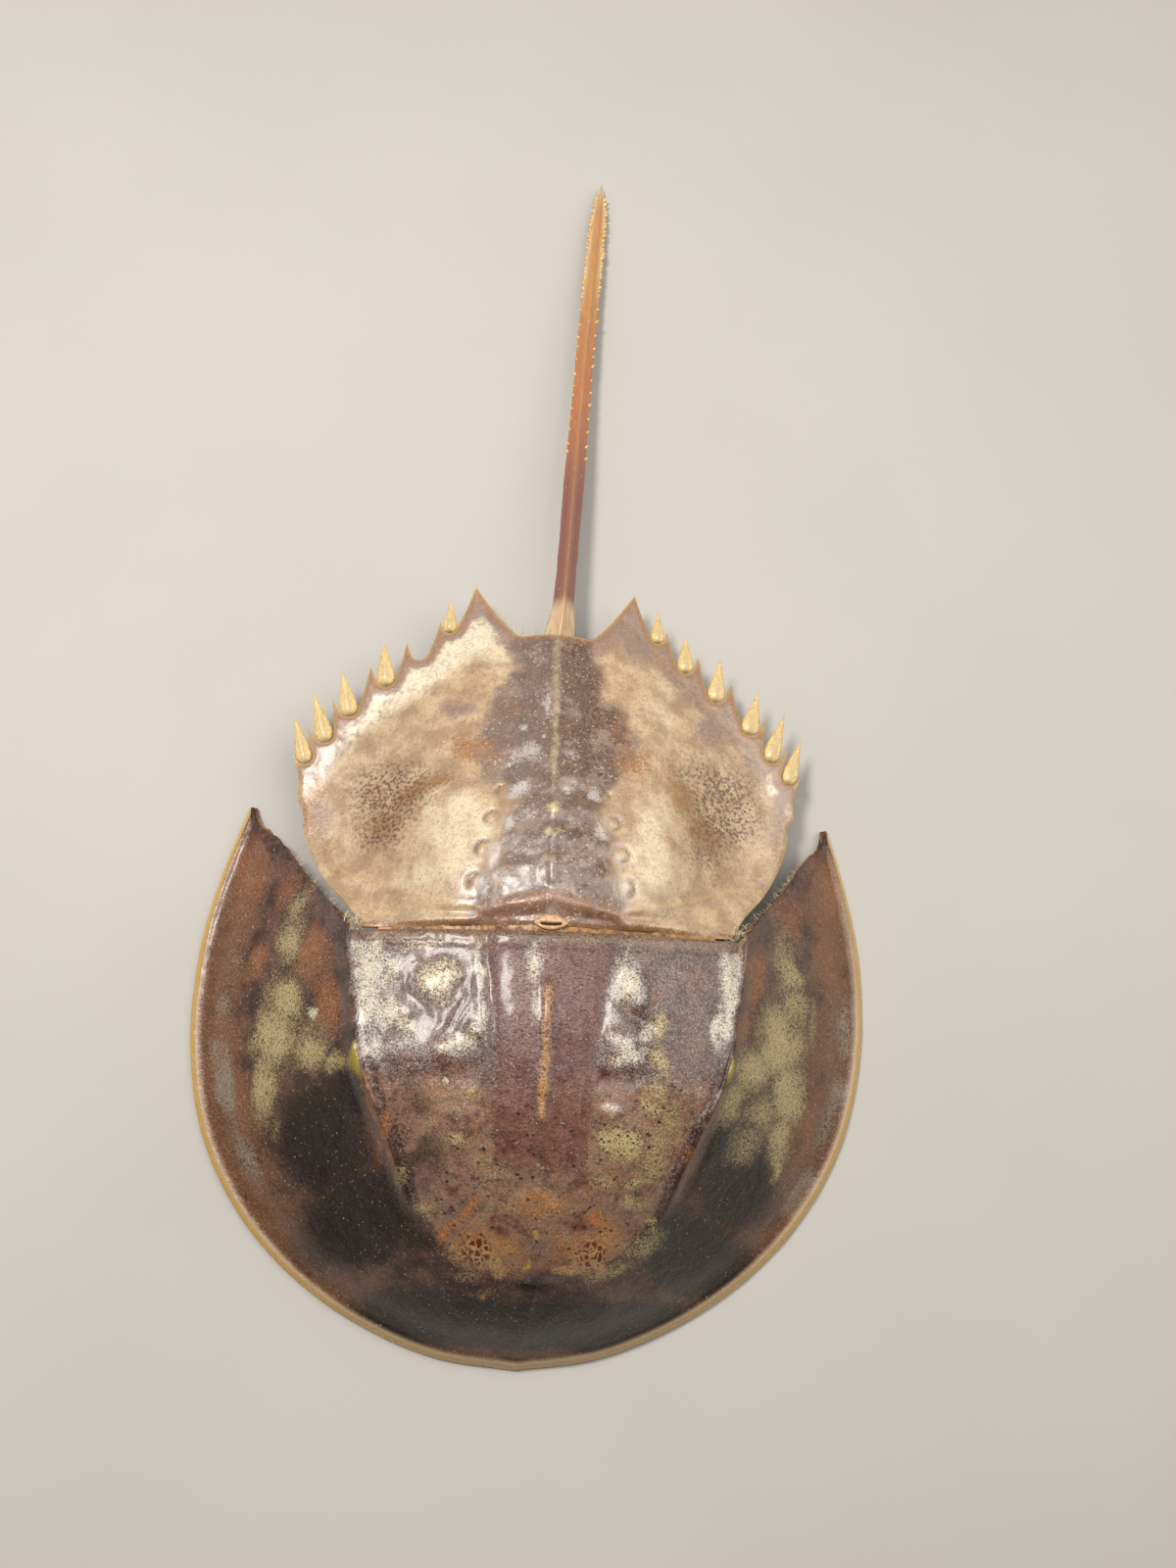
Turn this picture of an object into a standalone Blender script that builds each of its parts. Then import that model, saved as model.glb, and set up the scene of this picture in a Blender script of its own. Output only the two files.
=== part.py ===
"""A dried horseshoe crab shell, lying on its rim with the tail to the rear.

Head shield, hinge membrane, abdomen shield, tail spine and eleven movable side spines.
+Y points to the tail and +X to the right as seen from above with the tail pointing away.
"""
import math

import bmesh
import bpy
from mathutils import Matrix, Vector

MM = 0.001

# Head shield, in millimetres. Half outlines run down the right side.
RIM_REAR = ((58.2, 27.3), (60.9, 18.5), (63.4, 8.5), (64.8, 0.0), (65.2, -6.0))
RIM_FRONT = ((65.2, -6.0), (65.2, -14.0), (64.2, -23.0), (61.6, -33.5), (57.2, -43.0),
             (50.4, -52.5), (41.0, -61.3), (29.0, -68.8), (15.0, -74.2), (0.0, -76.3))
RIM_SHIFT = -1.2
RIM_SHIFT_PER_Y = 0.018
CHEEK_EDGE = ((58.2, 27.3, 1.3), (56.2, 23.2, 4.0), (51.0, 19.0, 8.0), (46.5, 13.3, 12.5),
              (42.0, 8.3, 17.0), (37.8, 3.7, 22.0), (35.2, -0.3, 26.4))
EYE_RIDGE = ((35.0, -3.4), (33.3, -12.0), (31.7, -21.5), (29.8, -27.0), (27.4, -32.0),
             (24.3, -39.5), (21.3, -47.5), (15.5, -54.3), (8.0, -58.0), (0.0, -59.2))
HINGE_HALF_WIDTH = 35.2
HINGE_Y = -0.3
MIDLINE_HEIGHT = ((-60.0, 18.8), (-54.0, 24.0), (-47.0, 28.8), (-40.0, 32.4), (-30.0, 35.7),
                  (-20.0, 36.8), (-10.0, 36.4), (0.0, 34.8), (6.0, 33.2))
RIDGE_HEIGHT = ((-60.0, 18.8), (-54.0, 20.6), (-47.5, 22.6), (-39.5, 26.0), (-32.0, 28.7),
                (-26.0, 29.8), (-20.0, 29.9), (-12.0, 28.8), (-4.0, 27.2), (0.0, 26.4), (6.0, 25.0))
FURROW_X = ((-60.0, 6.0), (-34.0, 7.6), (-20.0, 9.0), (-8.0, 10.4), (0.0, 11.6), (6.0, 12.0))
FURROW_DEPTH = 1.3
FURROW_HALF_WIDTH = 1.7
FURROW_FRONT_Y = -36.0
KEEL_HEIGHT = 0.7
KEEL_HALF_WIDTH = 1.0
EYE_RIDGE_HEIGHT = 0.7
EYE_RIDGE_HALF_WIDTH = 1.3
EYE_PLACE = (32.6, -22.6)
EYE_HALF_LENGTH = 3.6
EYE_HALF_WIDTH = 1.5
EYE_HEIGHT = 1.3
SHIELD_LUMPS = ((-19.2, -8.5, 5.0, -0.8), (-19.2, -8.5, 9.5, 0.9), (-21.0, -24.0, 6.0, 0.7),
                (-14.0, -33.0, 4.5, 0.6), (15.6, -9.5, 4.2, 0.9), (23.5, -12.5, 5.0, 0.6),
                (14.0, -18.5, 3.6, -0.7), (13.6, -23.5, 3.8, 0.9), (12.0, -32.5, 3.8, 0.8),
                (22.0, -27.5, 5.0, 0.6), (-11.5, -44.0, 4.0, 0.5), (10.5, -45.0, 4.0, 0.5))
RIM_EDGE = 1.1
BRIM_DIP = 0.7
BRIM_DISTANCE = 4.5
SHIELD_WALL = 1.4
CHEEK_LIP = 2.2
FOLD_WIDTH = 7.0
FOLD_POINT = 8.0
FOLD_THICKNESS = 1.0
FOLD_APEX = 3.0

# Abdomen shield, in millimetres
ABDOMEN_FRONT_Y = 0.7
ABDOMEN_REAR_Y = 60.4
SHOULDER = ((33.4, 1.4), (36.8, 5.6), (41.6, 10.8), (45.4, 17.0), (47.2, 22.0), (47.7, 26.0),
            (48.7, 26.8), (48.8, 31.5))
FIRST_TOOTH = (50.9, 36.8)
SOCKETS = ((48.2, 35.9), (44.6, 40.5), (40.3, 46.2), (33.3, 52.7), (26.9, 58.5), (21.2, 64.4))
TEETH = ((48.4, 42.4), (43.7, 48.4), (36.6, 55.4), (29.7, 60.8), (23.1, 65.9), (16.4, 73.5))
TAIL_NOTCH = ((13.6, 69.0), (10.2, 64.0), (6.7, 60.6))
SOCKET_GAP = 0.3
MARGIN_INSET = 4.2
AXIS_HEIGHT = ((0.0, 34.2), (5.0, 34.9), (12.0, 33.9), (22.0, 31.2), (34.0, 27.6), (45.0, 23.8),
               (55.0, 19.6), (60.4, 17.0), (74.0, 11.0))
AXIS_EDGE_DROP = ((0.0, 3.4), (10.0, 2.8), (30.0, 2.4), (60.0, 2.0), (74.0, 1.6))
AXIS_HALF_WIDTH = ((0.0, 12.0), (8.5, 12.9), (14.7, 11.8), (20.5, 10.6), (26.0, 9.4), (30.5, 8.0),
                   (34.0, 7.0), (45.0, 6.8), (60.4, 6.7), (74.0, 6.7))
MARGIN_X = ((0.0, 33.4), (2.0, 34.0), (5.6, 36.8), (10.8, 41.6), (17.0, 45.4), (22.0, 47.4),
            (28.0, 49.0), (36.8, 51.2), (42.4, 48.8), (48.4, 44.0), (55.4, 37.0), (60.8, 30.2),
            (65.9, 23.8), (73.5, 16.6))
MARGIN_HEIGHT = ((0.0, 25.8), (2.0, 23.8), (5.6, 19.4), (10.8, 14.4), (17.0, 11.0), (22.0, 9.4),
                 (28.0, 8.4), (36.8, 7.4), (48.4, 7.0), (60.8, 7.2), (73.5, 8.2))
LOBE_SWELL = 0.085
ABDOMEN_KEEL_HEIGHT = 0.9
ABDOMEN_KEEL_HALF_WIDTH = 1.1
BEAD_HEIGHT = 0.6
BEAD_HALF_WIDTH = 0.8
BEAD_SETBACK = 1.1
ABDOMEN_WALL = 1.3
PIT_PLACES = ((13.0, 8.6), (11.8, 14.7), (10.6, 20.4), (9.5, 25.8), (7.6, 30.2))
PIT_RADIUS = 1.55
PIT_DEPTH = 0.7

# Movable spines: length beyond the socket's centre, half width and lean towards the side
SPINE_TIPS = ((50.9, 44.6), (47.6, 49.8), (42.2, 54.3), (34.3, 61.0), (27.0, 65.2), (21.2, 70.6))
SPINE_HALF_WIDTHS = (1.55, 1.7, 1.8, 1.75, 1.65, 1.4)
SPINE_THICKNESS = 1.9
MISSING_LEFT_SPINE = 4

# Hinge membrane, in millimetres
MEMBRANE_HALF_WIDTH = 30.5
MEMBRANE_FRONT_Y = -1.8
MEMBRANE_REAR_Y = 2.1
MEMBRANE_THICKNESS = 0.8
MEMBRANE_GAP = 0.5

# Tail spine, in millimetres: place of its middle, half width and height, from base to point
TAIL_STATIONS = ((0.4, 56.5, 10.8, 1.7, 3.0), (0.6, 60.0, 11.0, 3.2, 4.8), (1.0, 63.5, 10.9, 3.15, 4.6),
                 (1.65, 71.0, 10.4, 2.2, 4.2), (3.1, 98.5, 8.1, 2.2, 3.8), (4.35, 122.0, 6.1, 2.0, 3.5),
                 (6.3, 155.0, 3.4, 1.95, 2.9), (7.2, 168.0, 2.3, 1.65, 2.3), (7.5, 173.5, 1.7, 1.0, 1.6),
                 (7.7, 176.8, 1.1, 0.35, 0.7))

# Mesh density
CHEEK_COLUMNS = 10
FRONT_COLUMNS = 26
OUTER_ROWS = (0.0, 0.05, 0.13, 0.24, 0.4, 0.58, 0.75, 0.89, 1.0)
INNER_ROWS = (0.12, 0.25, 0.38, 0.51, 0.64, 0.77, 0.89, 1.0)
ROOF_OUTER_ROWS = (3, 5, 8)
ROOF_INNER_ROWS = (2, 4, 7)
LOBE_ROWS = (0.0, 0.06, 0.17, 0.34, 0.54, 0.78, 1.0)
SOCKET_ARC = (-1.9, -0.95, 0.0, 0.95, 1.9)


def value_at(table, place):
    """Smooth value read from (place, value) pairs sorted by place."""
    last = len(table) - 1
    if place <= table[0][0]:
        return table[0][1]
    if place >= table[last][0]:
        return table[last][1]
    index = max(i for i in range(last) if table[i][0] <= place)
    before = table[max(index - 1, 0)]
    start = table[index]
    end = table[index + 1]
    after = table[min(index + 2, last)]
    span = end[0] - start[0]
    t = (place - start[0]) / span
    slope_start = (end[1] - before[1]) / (end[0] - before[0]) * span
    slope_end = (after[1] - start[1]) / (after[0] - start[0]) * span
    cubic = 2.0 * t ** 3 - 3.0 * t ** 2
    return (start[1] * (cubic + 1.0) + slope_start * (t ** 3 - 2.0 * t ** 2 + t)
            - end[1] * cubic + slope_end * (t ** 3 - t ** 2))


def along(points, count):
    """Places at even steps of length on a smooth curve through the points."""
    stations = [0.0]
    for first, second in zip(points, points[1:]):
        stations.append(stations[-1] + math.dist(first[:2], second[:2]))
    tables = [tuple(zip(stations, values)) for values in zip(*points)]
    total = stations[-1]
    return [tuple(value_at(table, total * i / count) for table in tables) for i in range(count + 1)]


def bump(distance, half_width):
    """Rounded hump of height 1 that fades out over about two half widths."""
    return math.exp(-(distance / half_width) ** 2)


def step(start, end, place):
    """Smooth step from 0 at start to 1 at end."""
    t = min(max((place - start) / (end - start), 0.0), 1.0)
    return t * t * (3.0 - 2.0 * t)


def mix(first, second, share):
    """The point or number at this share of the way from first to second."""
    return first + (second - first) * share


RIDGE_X = tuple((y, x) for x, y in reversed(EYE_RIDGE)) + ((HINGE_Y, HINGE_HALF_WIDTH), (6.0, 35.6))


def shield_crown(x, y):
    """Height of the head shield between its two long ridges, without the small relief."""
    half = max(value_at(RIDGE_X, y), 0.5)
    share = min(abs(x) / half, 1.0)
    middle = value_at(MIDLINE_HEIGHT, y)
    side = value_at(RIDGE_HEIGHT, y)
    return side + (middle - side) * (1.0 - share ** 1.9)


def shield_relief(x, y):
    """Furrows, keel and lumps that stand on the smooth crown."""
    ahead = step(FURROW_FRONT_Y - 8.0, FURROW_FRONT_Y + 6.0, y)
    relief = -FURROW_DEPTH * ahead * bump(abs(x) - value_at(FURROW_X, y), FURROW_HALF_WIDTH)
    keel = step(-60.0, -50.0, y) * (1.0 - step(-13.0, -8.0, y))
    relief += KEEL_HEIGHT * keel * bump(x, KEEL_HALF_WIDTH)
    for place_x, place_y, radius, height in SHIELD_LUMPS:
        away = math.hypot(x - place_x, y - place_y) / radius
        if radius > 9.0:
            relief += height * bump(away - 0.85, 0.22)
        else:
            relief += height * bump(away, 0.75)
    return relief * step(35.5, 31.0, abs(x)) * step(-62.0, -54.0, y)


def ridge_relief(x, y, ridge_x):
    """The long ridge over each eye, and the eye just outside it."""
    strength = step(-50.0, -34.0, y)
    relief = EYE_RIDGE_HEIGHT * strength * bump(abs(x) - ridge_x, EYE_RIDGE_HALF_WIDTH)
    across = (abs(x) - EYE_PLACE[0] - 0.16 * (y - EYE_PLACE[1])) / EYE_HALF_WIDTH
    lengthways = (y - EYE_PLACE[1]) / EYE_HALF_LENGTH
    away = math.hypot(across, lengthways)
    return relief + EYE_HEIGHT * bump(away, 0.9)


def rim_point(point):
    """A rim point of the right half with the shell's own slight lean, and its mirror image."""
    x, y = point
    shift = RIM_SHIFT + RIM_SHIFT_PER_Y * y
    return (x + shift, y), (-x + shift, y)


def shield_columns():
    """Rim, ridge and rear points of each column, from the right cheek tip to the left one."""
    rim = along(RIM_REAR, CHEEK_COLUMNS) + along(RIM_FRONT, FRONT_COLUMNS)[1:]
    cheek = along(CHEEK_EDGE, CHEEK_COLUMNS)
    ridge = along(EYE_RIDGE, FRONT_COLUMNS)
    right = []
    left = []
    for index, point in enumerate(rim):
        behind = index / CHEEK_COLUMNS
        ahead = (index - CHEEK_COLUMNS) / FRONT_COLUMNS
        right_rim, left_rim = rim_point(point)
        if index <= CHEEK_COLUMNS:
            rear = cheek[index]
            knee = None
            hollow = mix(-0.05, -0.2, behind)
        else:
            x = HINGE_HALF_WIDTH * (1.0 - ahead)
            rear = (x, HINGE_Y, shield_crown(x, HINGE_Y))
            knee = ridge[index - CHEEK_COLUMNS]
            hollow = mix(-0.2, 0.22, step(0.35, 0.95, ahead))
        lip = CHEEK_LIP * (1.0 - step(0.7, 1.0, behind))
        right.append((right_rim, knee, rear, behind, hollow, lip))
        left_knee = (-knee[0], knee[1]) if knee else None
        left.append((left_rim, left_knee, (-rear[0], rear[1], rear[2]), behind, hollow, lip))
    return right + left[-2::-1]


def shield_column_points(column):
    """Smooth points of one column from the rim to the rear edge, and the relief on each."""
    rim, knee, rear, behind, hollow, lip = column
    rim_x, rim_y = rim
    points = []
    relief = []
    if knee is None:
        knee_share = mix(0.6, 0.89, behind)
        knee = (mix(rim_x, rear[0], knee_share), mix(rim_y, rear[1], knee_share))
        top = rear[2]
        reach = knee_share
    else:
        top = shield_crown(*knee)
        reach = 1.0
    length = math.dist(rim, knee)
    for row in OUTER_ROWS:
        x = mix(rim_x, knee[0], row)
        y = mix(rim_y, knee[1], row)
        share = row * reach
        height = RIM_EDGE + (top - RIM_EDGE) * ((1.0 + hollow) * share - hollow * share * share)
        height -= BRIM_DIP * bump(row * length - BRIM_DISTANCE, 2.5) * min(row * length, 1.0)
        points.append((x, y, height))
        relief.append(ridge_relief(x, y, value_at(RIDGE_X, y)) if y < 2.0 else 0.0)
    for row in INNER_ROWS:
        x = mix(knee[0], rear[0], row)
        y = mix(knee[1], rear[1], row)
        if reach < 1.0:
            share = mix(reach, 1.0, row)
            height = RIM_EDGE + (top - RIM_EDGE) * ((1.0 + hollow) * share - hollow * share * share)
            points.append((x, y, height))
            relief.append(0.0)
        else:
            points.append((x, y, shield_crown(x, y)))
            relief.append(ridge_relief(x, y, value_at(RIDGE_X, y)) + shield_relief(x, y))
    return points, relief


def normal_at(grid, column, row):
    """Upward normal of a grid of points, from its neighbours."""
    before = Vector(grid[max(column - 1, 0)][row])
    after = Vector(grid[min(column + 1, len(grid) - 1)][row])
    lower = Vector(grid[column][max(row - 1, 0)])
    upper = Vector(grid[column][min(row + 1, len(grid[column]) - 1)])
    normal = (after - before).cross(upper - lower)
    if normal.length < 1e-9:
        return Vector((0.0, 0.0, 1.0))
    normal.normalize()
    return normal if normal.z > 0.0 else -normal


def shield_loops():
    """Closed cross-section of the head shield's wall in every column but the two tips."""
    columns = shield_columns()
    smooth = []
    raised = []
    for column in columns:
        points, relief = shield_column_points(column)
        smooth.append(points)
        raised.append([(x, y, z + add) for (x, y, z), add in zip(points, relief)])
    roof_rows = list(ROOF_OUTER_ROWS) + [len(OUTER_ROWS) + row for row in ROOF_INNER_ROWS]
    loops = []
    for index, (rim, knee, rear, behind, hollow, lip) in enumerate(columns):
        if index in (0, len(columns) - 1):
            continue
        loop = list(raised[index])
        rear_x, rear_y, rear_z = loop[-1]
        loop.append((rear_x, rear_y, rear_z - SHIELD_WALL - lip))
        for row in reversed(roof_rows[:-1]):
            inward = normal_at(smooth, index, row) * SHIELD_WALL
            loop.append(tuple(Vector(smooth[index][row]) - inward))
        length = math.dist(rim, rear[:2])
        inward = (Vector(rear[:2]) - Vector(rim)).normalized()
        point = FOLD_POINT * bump(rim[0], 12.0) if rim[1] < 0.0 else 0.0
        fold = min(FOLD_WIDTH + point, 0.4 * length)
        apex = min(FOLD_APEX, 0.16 * length)
        thickness = min(FOLD_THICKNESS, 0.5 * length * 0.16 + 0.2)
        for reach, height in ((apex, thickness), (fold, thickness), (fold, 0.0), (0.0, 0.0)):
            loop.append((rim[0] + inward.x * reach, rim[1] + inward.y * reach, height))
        loops.append(loop)
    return loops, smooth[0][0], smooth[-1][0]


def abdomen_height(x, y):
    """Height of the abdomen shield, without the pits."""
    x = abs(x)
    middle = value_at(AXIS_HEIGHT, y)
    edge = middle - value_at(AXIS_EDGE_DROP, y)
    half = value_at(AXIS_HALF_WIDTH, y)
    if x <= half:
        share = x / half
        height = edge + (middle - edge) * (1.0 - share ** 2.2)
    else:
        margin = max(value_at(MARGIN_X, y), half + 1.0)
        share = min((x - half) / (margin - half), 1.0)
        fall = 1.0 - share + LOBE_SWELL * math.sin(2.0 * math.pi * share)
        low = value_at(MARGIN_HEIGHT, y)
        height = low + (edge - low) * fall
    keel = step(3.0, 8.0, y) * (1.0 - step(58.0, 61.0, y))
    height += ABDOMEN_KEEL_HEIGHT * keel * bump(x, ABDOMEN_KEEL_HALF_WIDTH)
    bead = step(11.0, 14.0, x) * (1.0 - step(29.0, 33.0, x))
    return height + BEAD_HEIGHT * bead * bump(y - ABDOMEN_FRONT_Y - BEAD_SETBACK, BEAD_HALF_WIDTH)


def spine_direction(index):
    """Unit vector from a socket's centre to its spine's tip, on the right side."""
    base = Vector(SOCKETS[index])
    return (Vector(SPINE_TIPS[index]) - base).normalized()


def abdomen_outline():
    """Right half outline from the front middle to the rear middle, with a root for each point."""
    outline = []
    roots = []
    front_steps = 7
    for i in range(front_steps + 1):
        x = SHOULDER[0][0] * i / front_steps
        outline.append((x, ABDOMEN_FRONT_Y))
        roots.append((x * 0.86, ABDOMEN_FRONT_Y + 2.2 * min(i, 1)))
    for x, y in along(SHOULDER, 10)[1:]:
        outline.append((x, y))
        roots.append((x - MARGIN_INSET, y + 1.6 * (1.0 - step(5.0, 25.0, y))))
    anchors = []
    for index, base in enumerate(SOCKETS):
        inward = Vector((-0.75, -0.66)) if index > 1 else Vector((-0.95, -0.3))
        anchors.append(Vector(base) + inward * (MARGIN_INSET + 0.6))
    outline.append(FIRST_TOOTH)
    roots.append(tuple(mix(Vector(roots[-1]), anchors[0], 0.5)))
    for index, base in enumerate(SOCKETS):
        ahead = spine_direction(index)
        aside = Vector((ahead.y, -ahead.x))
        radius = SPINE_HALF_WIDTHS[index] + SOCKET_GAP
        following = anchors[index + 1] if index + 1 < len(SOCKETS) else Vector((13.6, 62.0))
        previous = anchors[index - 1] if index else Vector(roots[-1])
        for number, angle in enumerate(SOCKET_ARC):
            place = Vector(base) + (aside * -math.sin(angle) - ahead * math.cos(angle)) * radius
            outline.append(tuple(place))
            share = (number - 2) * 0.09
            neighbour = following if share > 0.0 else previous
            roots.append(tuple(mix(anchors[index], neighbour, abs(share))))
        tooth = Vector(TEETH[index])
        outline.append(tuple(tooth))
        roots.append(tuple(mix(anchors[index], following, 0.5)))
    for x, y in TAIL_NOTCH:
        outline.append((x, y))
        roots.append((x * 0.75, y - 5.0))
    outline.append((3.4, ABDOMEN_REAR_Y + 0.1))
    roots.append((2.8, ABDOMEN_REAR_Y - 4.0))
    outline.append((0.0, ABDOMEN_REAR_Y + 0.2))
    roots.append((0.0, ABDOMEN_REAR_Y - 3.0))
    return outline, roots


def abdomen_grid():
    """Columns of the right half, from the middle line out to the outline."""
    outline, roots = abdomen_outline()
    last = len(outline) - 1
    grid = []
    for index, (edge, root) in enumerate(zip(outline, roots)):
        share = index / last
        spine_y = mix(ABDOMEN_FRONT_Y, ABDOMEN_REAR_Y + 0.2, share ** 1.15)
        column = []
        for row in LOBE_ROWS:
            column.append((mix(0.0, root[0], row), mix(spine_y, root[1], row)))
        column.append(tuple(mix(Vector(root), Vector(edge), 0.5)))
        column.append(edge)
        grid.append(column)
    grid[0] = [(0.0, ABDOMEN_FRONT_Y)] * len(grid[0])
    grid[last] = [(0.0, ABDOMEN_REAR_Y + 0.2)] * len(grid[last])
    return grid


def new_object(name, mesh_maker, colour, roughness, metallic=0.0):
    """Object with its own material from a function that fills a bmesh in millimetres."""
    mesh = bpy.data.meshes.new(name)
    bm = bmesh.new()
    mesh_maker(bm)
    bmesh.ops.remove_doubles(bm, verts=bm.verts, dist=0.001)
    bmesh.ops.dissolve_degenerate(bm, edges=bm.edges, dist=0.0005)
    bmesh.ops.scale(bm, vec=(MM, MM, MM), verts=bm.verts)
    bmesh.ops.triangulate(bm, faces=bm.faces)
    bmesh.ops.recalc_face_normals(bm, faces=bm.faces)
    bm.to_mesh(mesh)
    bm.free()
    mesh.shade_smooth()
    mesh.set_sharp_from_angle(angle=math.radians(40.0))
    material = bpy.data.materials.new(name)
    material.use_nodes = True
    shader = material.node_tree.nodes["Principled BSDF"]
    shader.inputs["Base Color"].default_value = (*colour, 1.0)
    shader.inputs["Roughness"].default_value = roughness
    shader.inputs["Metallic"].default_value = metallic
    mesh.materials.append(material)
    thing = bpy.data.objects.new(name, mesh)
    bpy.context.scene.collection.objects.link(thing)
    return thing


def skin_loops(bm, loops, first_tip, last_tip):
    """Join closed loops of points one to the next, ending in a point at each end."""
    rings = [[bm.verts.new(point) for point in loop] for loop in loops]
    size = len(rings[0])
    for one, other in zip(rings, rings[1:]):
        for i in range(size):
            j = (i + 1) % size
            bm.faces.new((one[i], one[j], other[j], other[i]))
    for tip, ring in ((first_tip, rings[0]), (last_tip, rings[-1])):
        end = bm.verts.new(tip)
        for i in range(size):
            bm.faces.new((ring[i], ring[(i + 1) % size], end))


def build_shield(bm):
    """Head shield: one wall with its rim folded under, swept round from tip to tip."""
    loops, first_tip, last_tip = shield_loops()
    skin_loops(bm, loops, first_tip, last_tip)


def build_abdomen(bm):
    """Abdomen shield: upper and lower skins of both halves, joined round the outline."""
    half = abdomen_grid()
    mirrored = [[(-x, y) for x, y in column] for column in half]
    for side in (half, mirrored):
        points = [[(x, y, abdomen_height(x, y)) for x, y in column] for column in side]
        upper = []
        lower = []
        last_row = len(points[0]) - 1
        for index, column in enumerate(points):
            upper.append([bm.verts.new(point) for point in column])
            under = []
            for row, point in enumerate(column):
                offset = normal_at(points, index, row) * ABDOMEN_WALL
                if row == 0:
                    offset.x = 0.0
                if row >= last_row - 1 or index in (0, len(points) - 1):
                    offset = Vector((0.0, 0.0, ABDOMEN_WALL))
                under.append(bm.verts.new(Vector(point) - offset))
            lower.append(under)
        for k in range(len(points) - 1):
            for row in range(last_row):
                for skin in (upper, lower):
                    quad = (skin[k][row], skin[k][row + 1], skin[k + 1][row + 1], skin[k + 1][row])
                    bm.faces.new(quad)
            bm.faces.new((upper[k][last_row], lower[k][last_row],
                          lower[k + 1][last_row], upper[k + 1][last_row]))


def build_pit_cutter(bm):
    """Round cutters, one over each muscle pit on both sides."""
    radius = (PIT_RADIUS ** 2 + PIT_DEPTH ** 2) / (2.0 * PIT_DEPTH)
    for x, y in PIT_PLACES:
        for side in (1.0, -1.0):
            centre = Vector((side * x, y, abdomen_height(x, y) + radius - PIT_DEPTH))
            bmesh.ops.create_uvsphere(bm, u_segments=9, v_segments=8, radius=radius,
                                      matrix=Matrix.Translation(centre))


def cut_pits(shield):
    """Take the muscle pits out of the abdomen shield."""
    cutter = new_object("pit_cutter", build_pit_cutter, (0.5, 0.5, 0.5), 0.5)
    cutter.hide_render = True
    cutter.display_type = "WIRE"
    cut = shield.modifiers.new("Pits", "BOOLEAN")
    cut.operation = "DIFFERENCE"
    cut.object = cutter


def build_tail(bm):
    """Tail spine: rounded three-sided sections with a keel on top."""
    outline = ((0.0, 0.62), (-0.34, 0.28), (-0.8, -0.1), (-1.0, -0.3), (-0.72, -0.46), (0.0, -0.5),
               (0.72, -0.46), (1.0, -0.3), (0.8, -0.1), (0.34, 0.28))
    loops = []
    for x, y, z, half_width, height in TAIL_STATIONS:
        loops.append([(x + across * half_width, y, z + up * height) for across, up in outline])
    x, y, z = TAIL_STATIONS[0][:3]
    tip_x, tip_y, tip_z = TAIL_STATIONS[-1][:3]
    skin_loops(bm, loops, (x, y - 0.6, z), (tip_x + 0.05, tip_y + 0.6, tip_z))


def build_spine(index, side):
    """Maker of one movable spine: a flattened thorn with a round seat."""
    base = Vector(SOCKETS[index])
    tip = Vector(SPINE_TIPS[index])
    ahead = spine_direction(index)
    aside = Vector((ahead.y, -ahead.x))
    half_width = SPINE_HALF_WIDTHS[index]
    seat_z = abdomen_height(*base) - 0.5 * ABDOMEN_WALL + 0.1
    length = (tip - base).length
    stations = ((-0.95, 0.3), (-0.7, 0.72), (-0.25, 0.97), (0.35, 1.0), (1.2, 0.9),
                (2.6, 0.62), (4.2, 0.3))
    shape = ((0.0, 0.6), (-0.6, 0.3), (-1.0, -0.1), (0.0, -0.5), (1.0, -0.1), (0.6, 0.3))

    def fill(bm):
        loops = []
        for reach, width in stations:
            distance = reach * half_width if reach < 1.0 else mix(half_width, length, (reach - 1.0) / 4.2)
            thickness = SPINE_THICKNESS * (0.35 + 0.65 * width)
            loop = []
            for across, up in shape:
                place = base + ahead * distance + aside * across * width * half_width
                loop.append((side * place.x, place.y, seat_z + up * thickness * 0.75))
            loops.append(loop)
        start = base - ahead * half_width
        skin_loops(bm, loops, (side * start.x, start.y, seat_z), (side * tip.x, tip.y, seat_z))

    return fill


def build_membrane(bm):
    """Hinge membrane: a thin strip that lies under both edges of the hinge groove."""
    steps = 22
    loops = []
    for i in range(steps + 1):
        x = MEMBRANE_HALF_WIDTH * (2.0 * i / steps - 1.0)
        front = shield_crown(x, HINGE_Y) + shield_relief(x, HINGE_Y)
        rear = min(abdomen_height(x, ABDOMEN_FRONT_Y), abdomen_height(x, MEMBRANE_REAR_Y))
        top = min(front, rear) - SHIELD_WALL - MEMBRANE_GAP
        low = top - MEMBRANE_THICKNESS
        loops.append([(x, MEMBRANE_FRONT_Y, top), (x, MEMBRANE_REAR_Y, top),
                      (x, MEMBRANE_REAR_Y, low), (x, MEMBRANE_FRONT_Y, low)])
    start = Vector(loops[0][0]).lerp(Vector(loops[0][2]), 0.5)
    end = Vector(loops[-1][0]).lerp(Vector(loops[-1][2]), 0.5)
    skin_loops(bm, loops, tuple(start - Vector((0.4, 0.0, 0.0))), tuple(end + Vector((0.4, 0.0, 0.0))))


def centre_all(things):
    """Move every mesh so that the origin is under the middle of the shell's box."""
    places = [vertex.co for thing in things for vertex in thing.data.vertices if not thing.hide_render]
    low = Vector([min(place[axis] for place in places) for axis in range(3)])
    high = Vector([max(place[axis] for place in places) for axis in range(3)])
    middle = (low + high) * 0.5
    for thing in things:
        thing.data.transform(Matrix.Translation((-middle.x, -middle.y, -low.z)))


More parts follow.
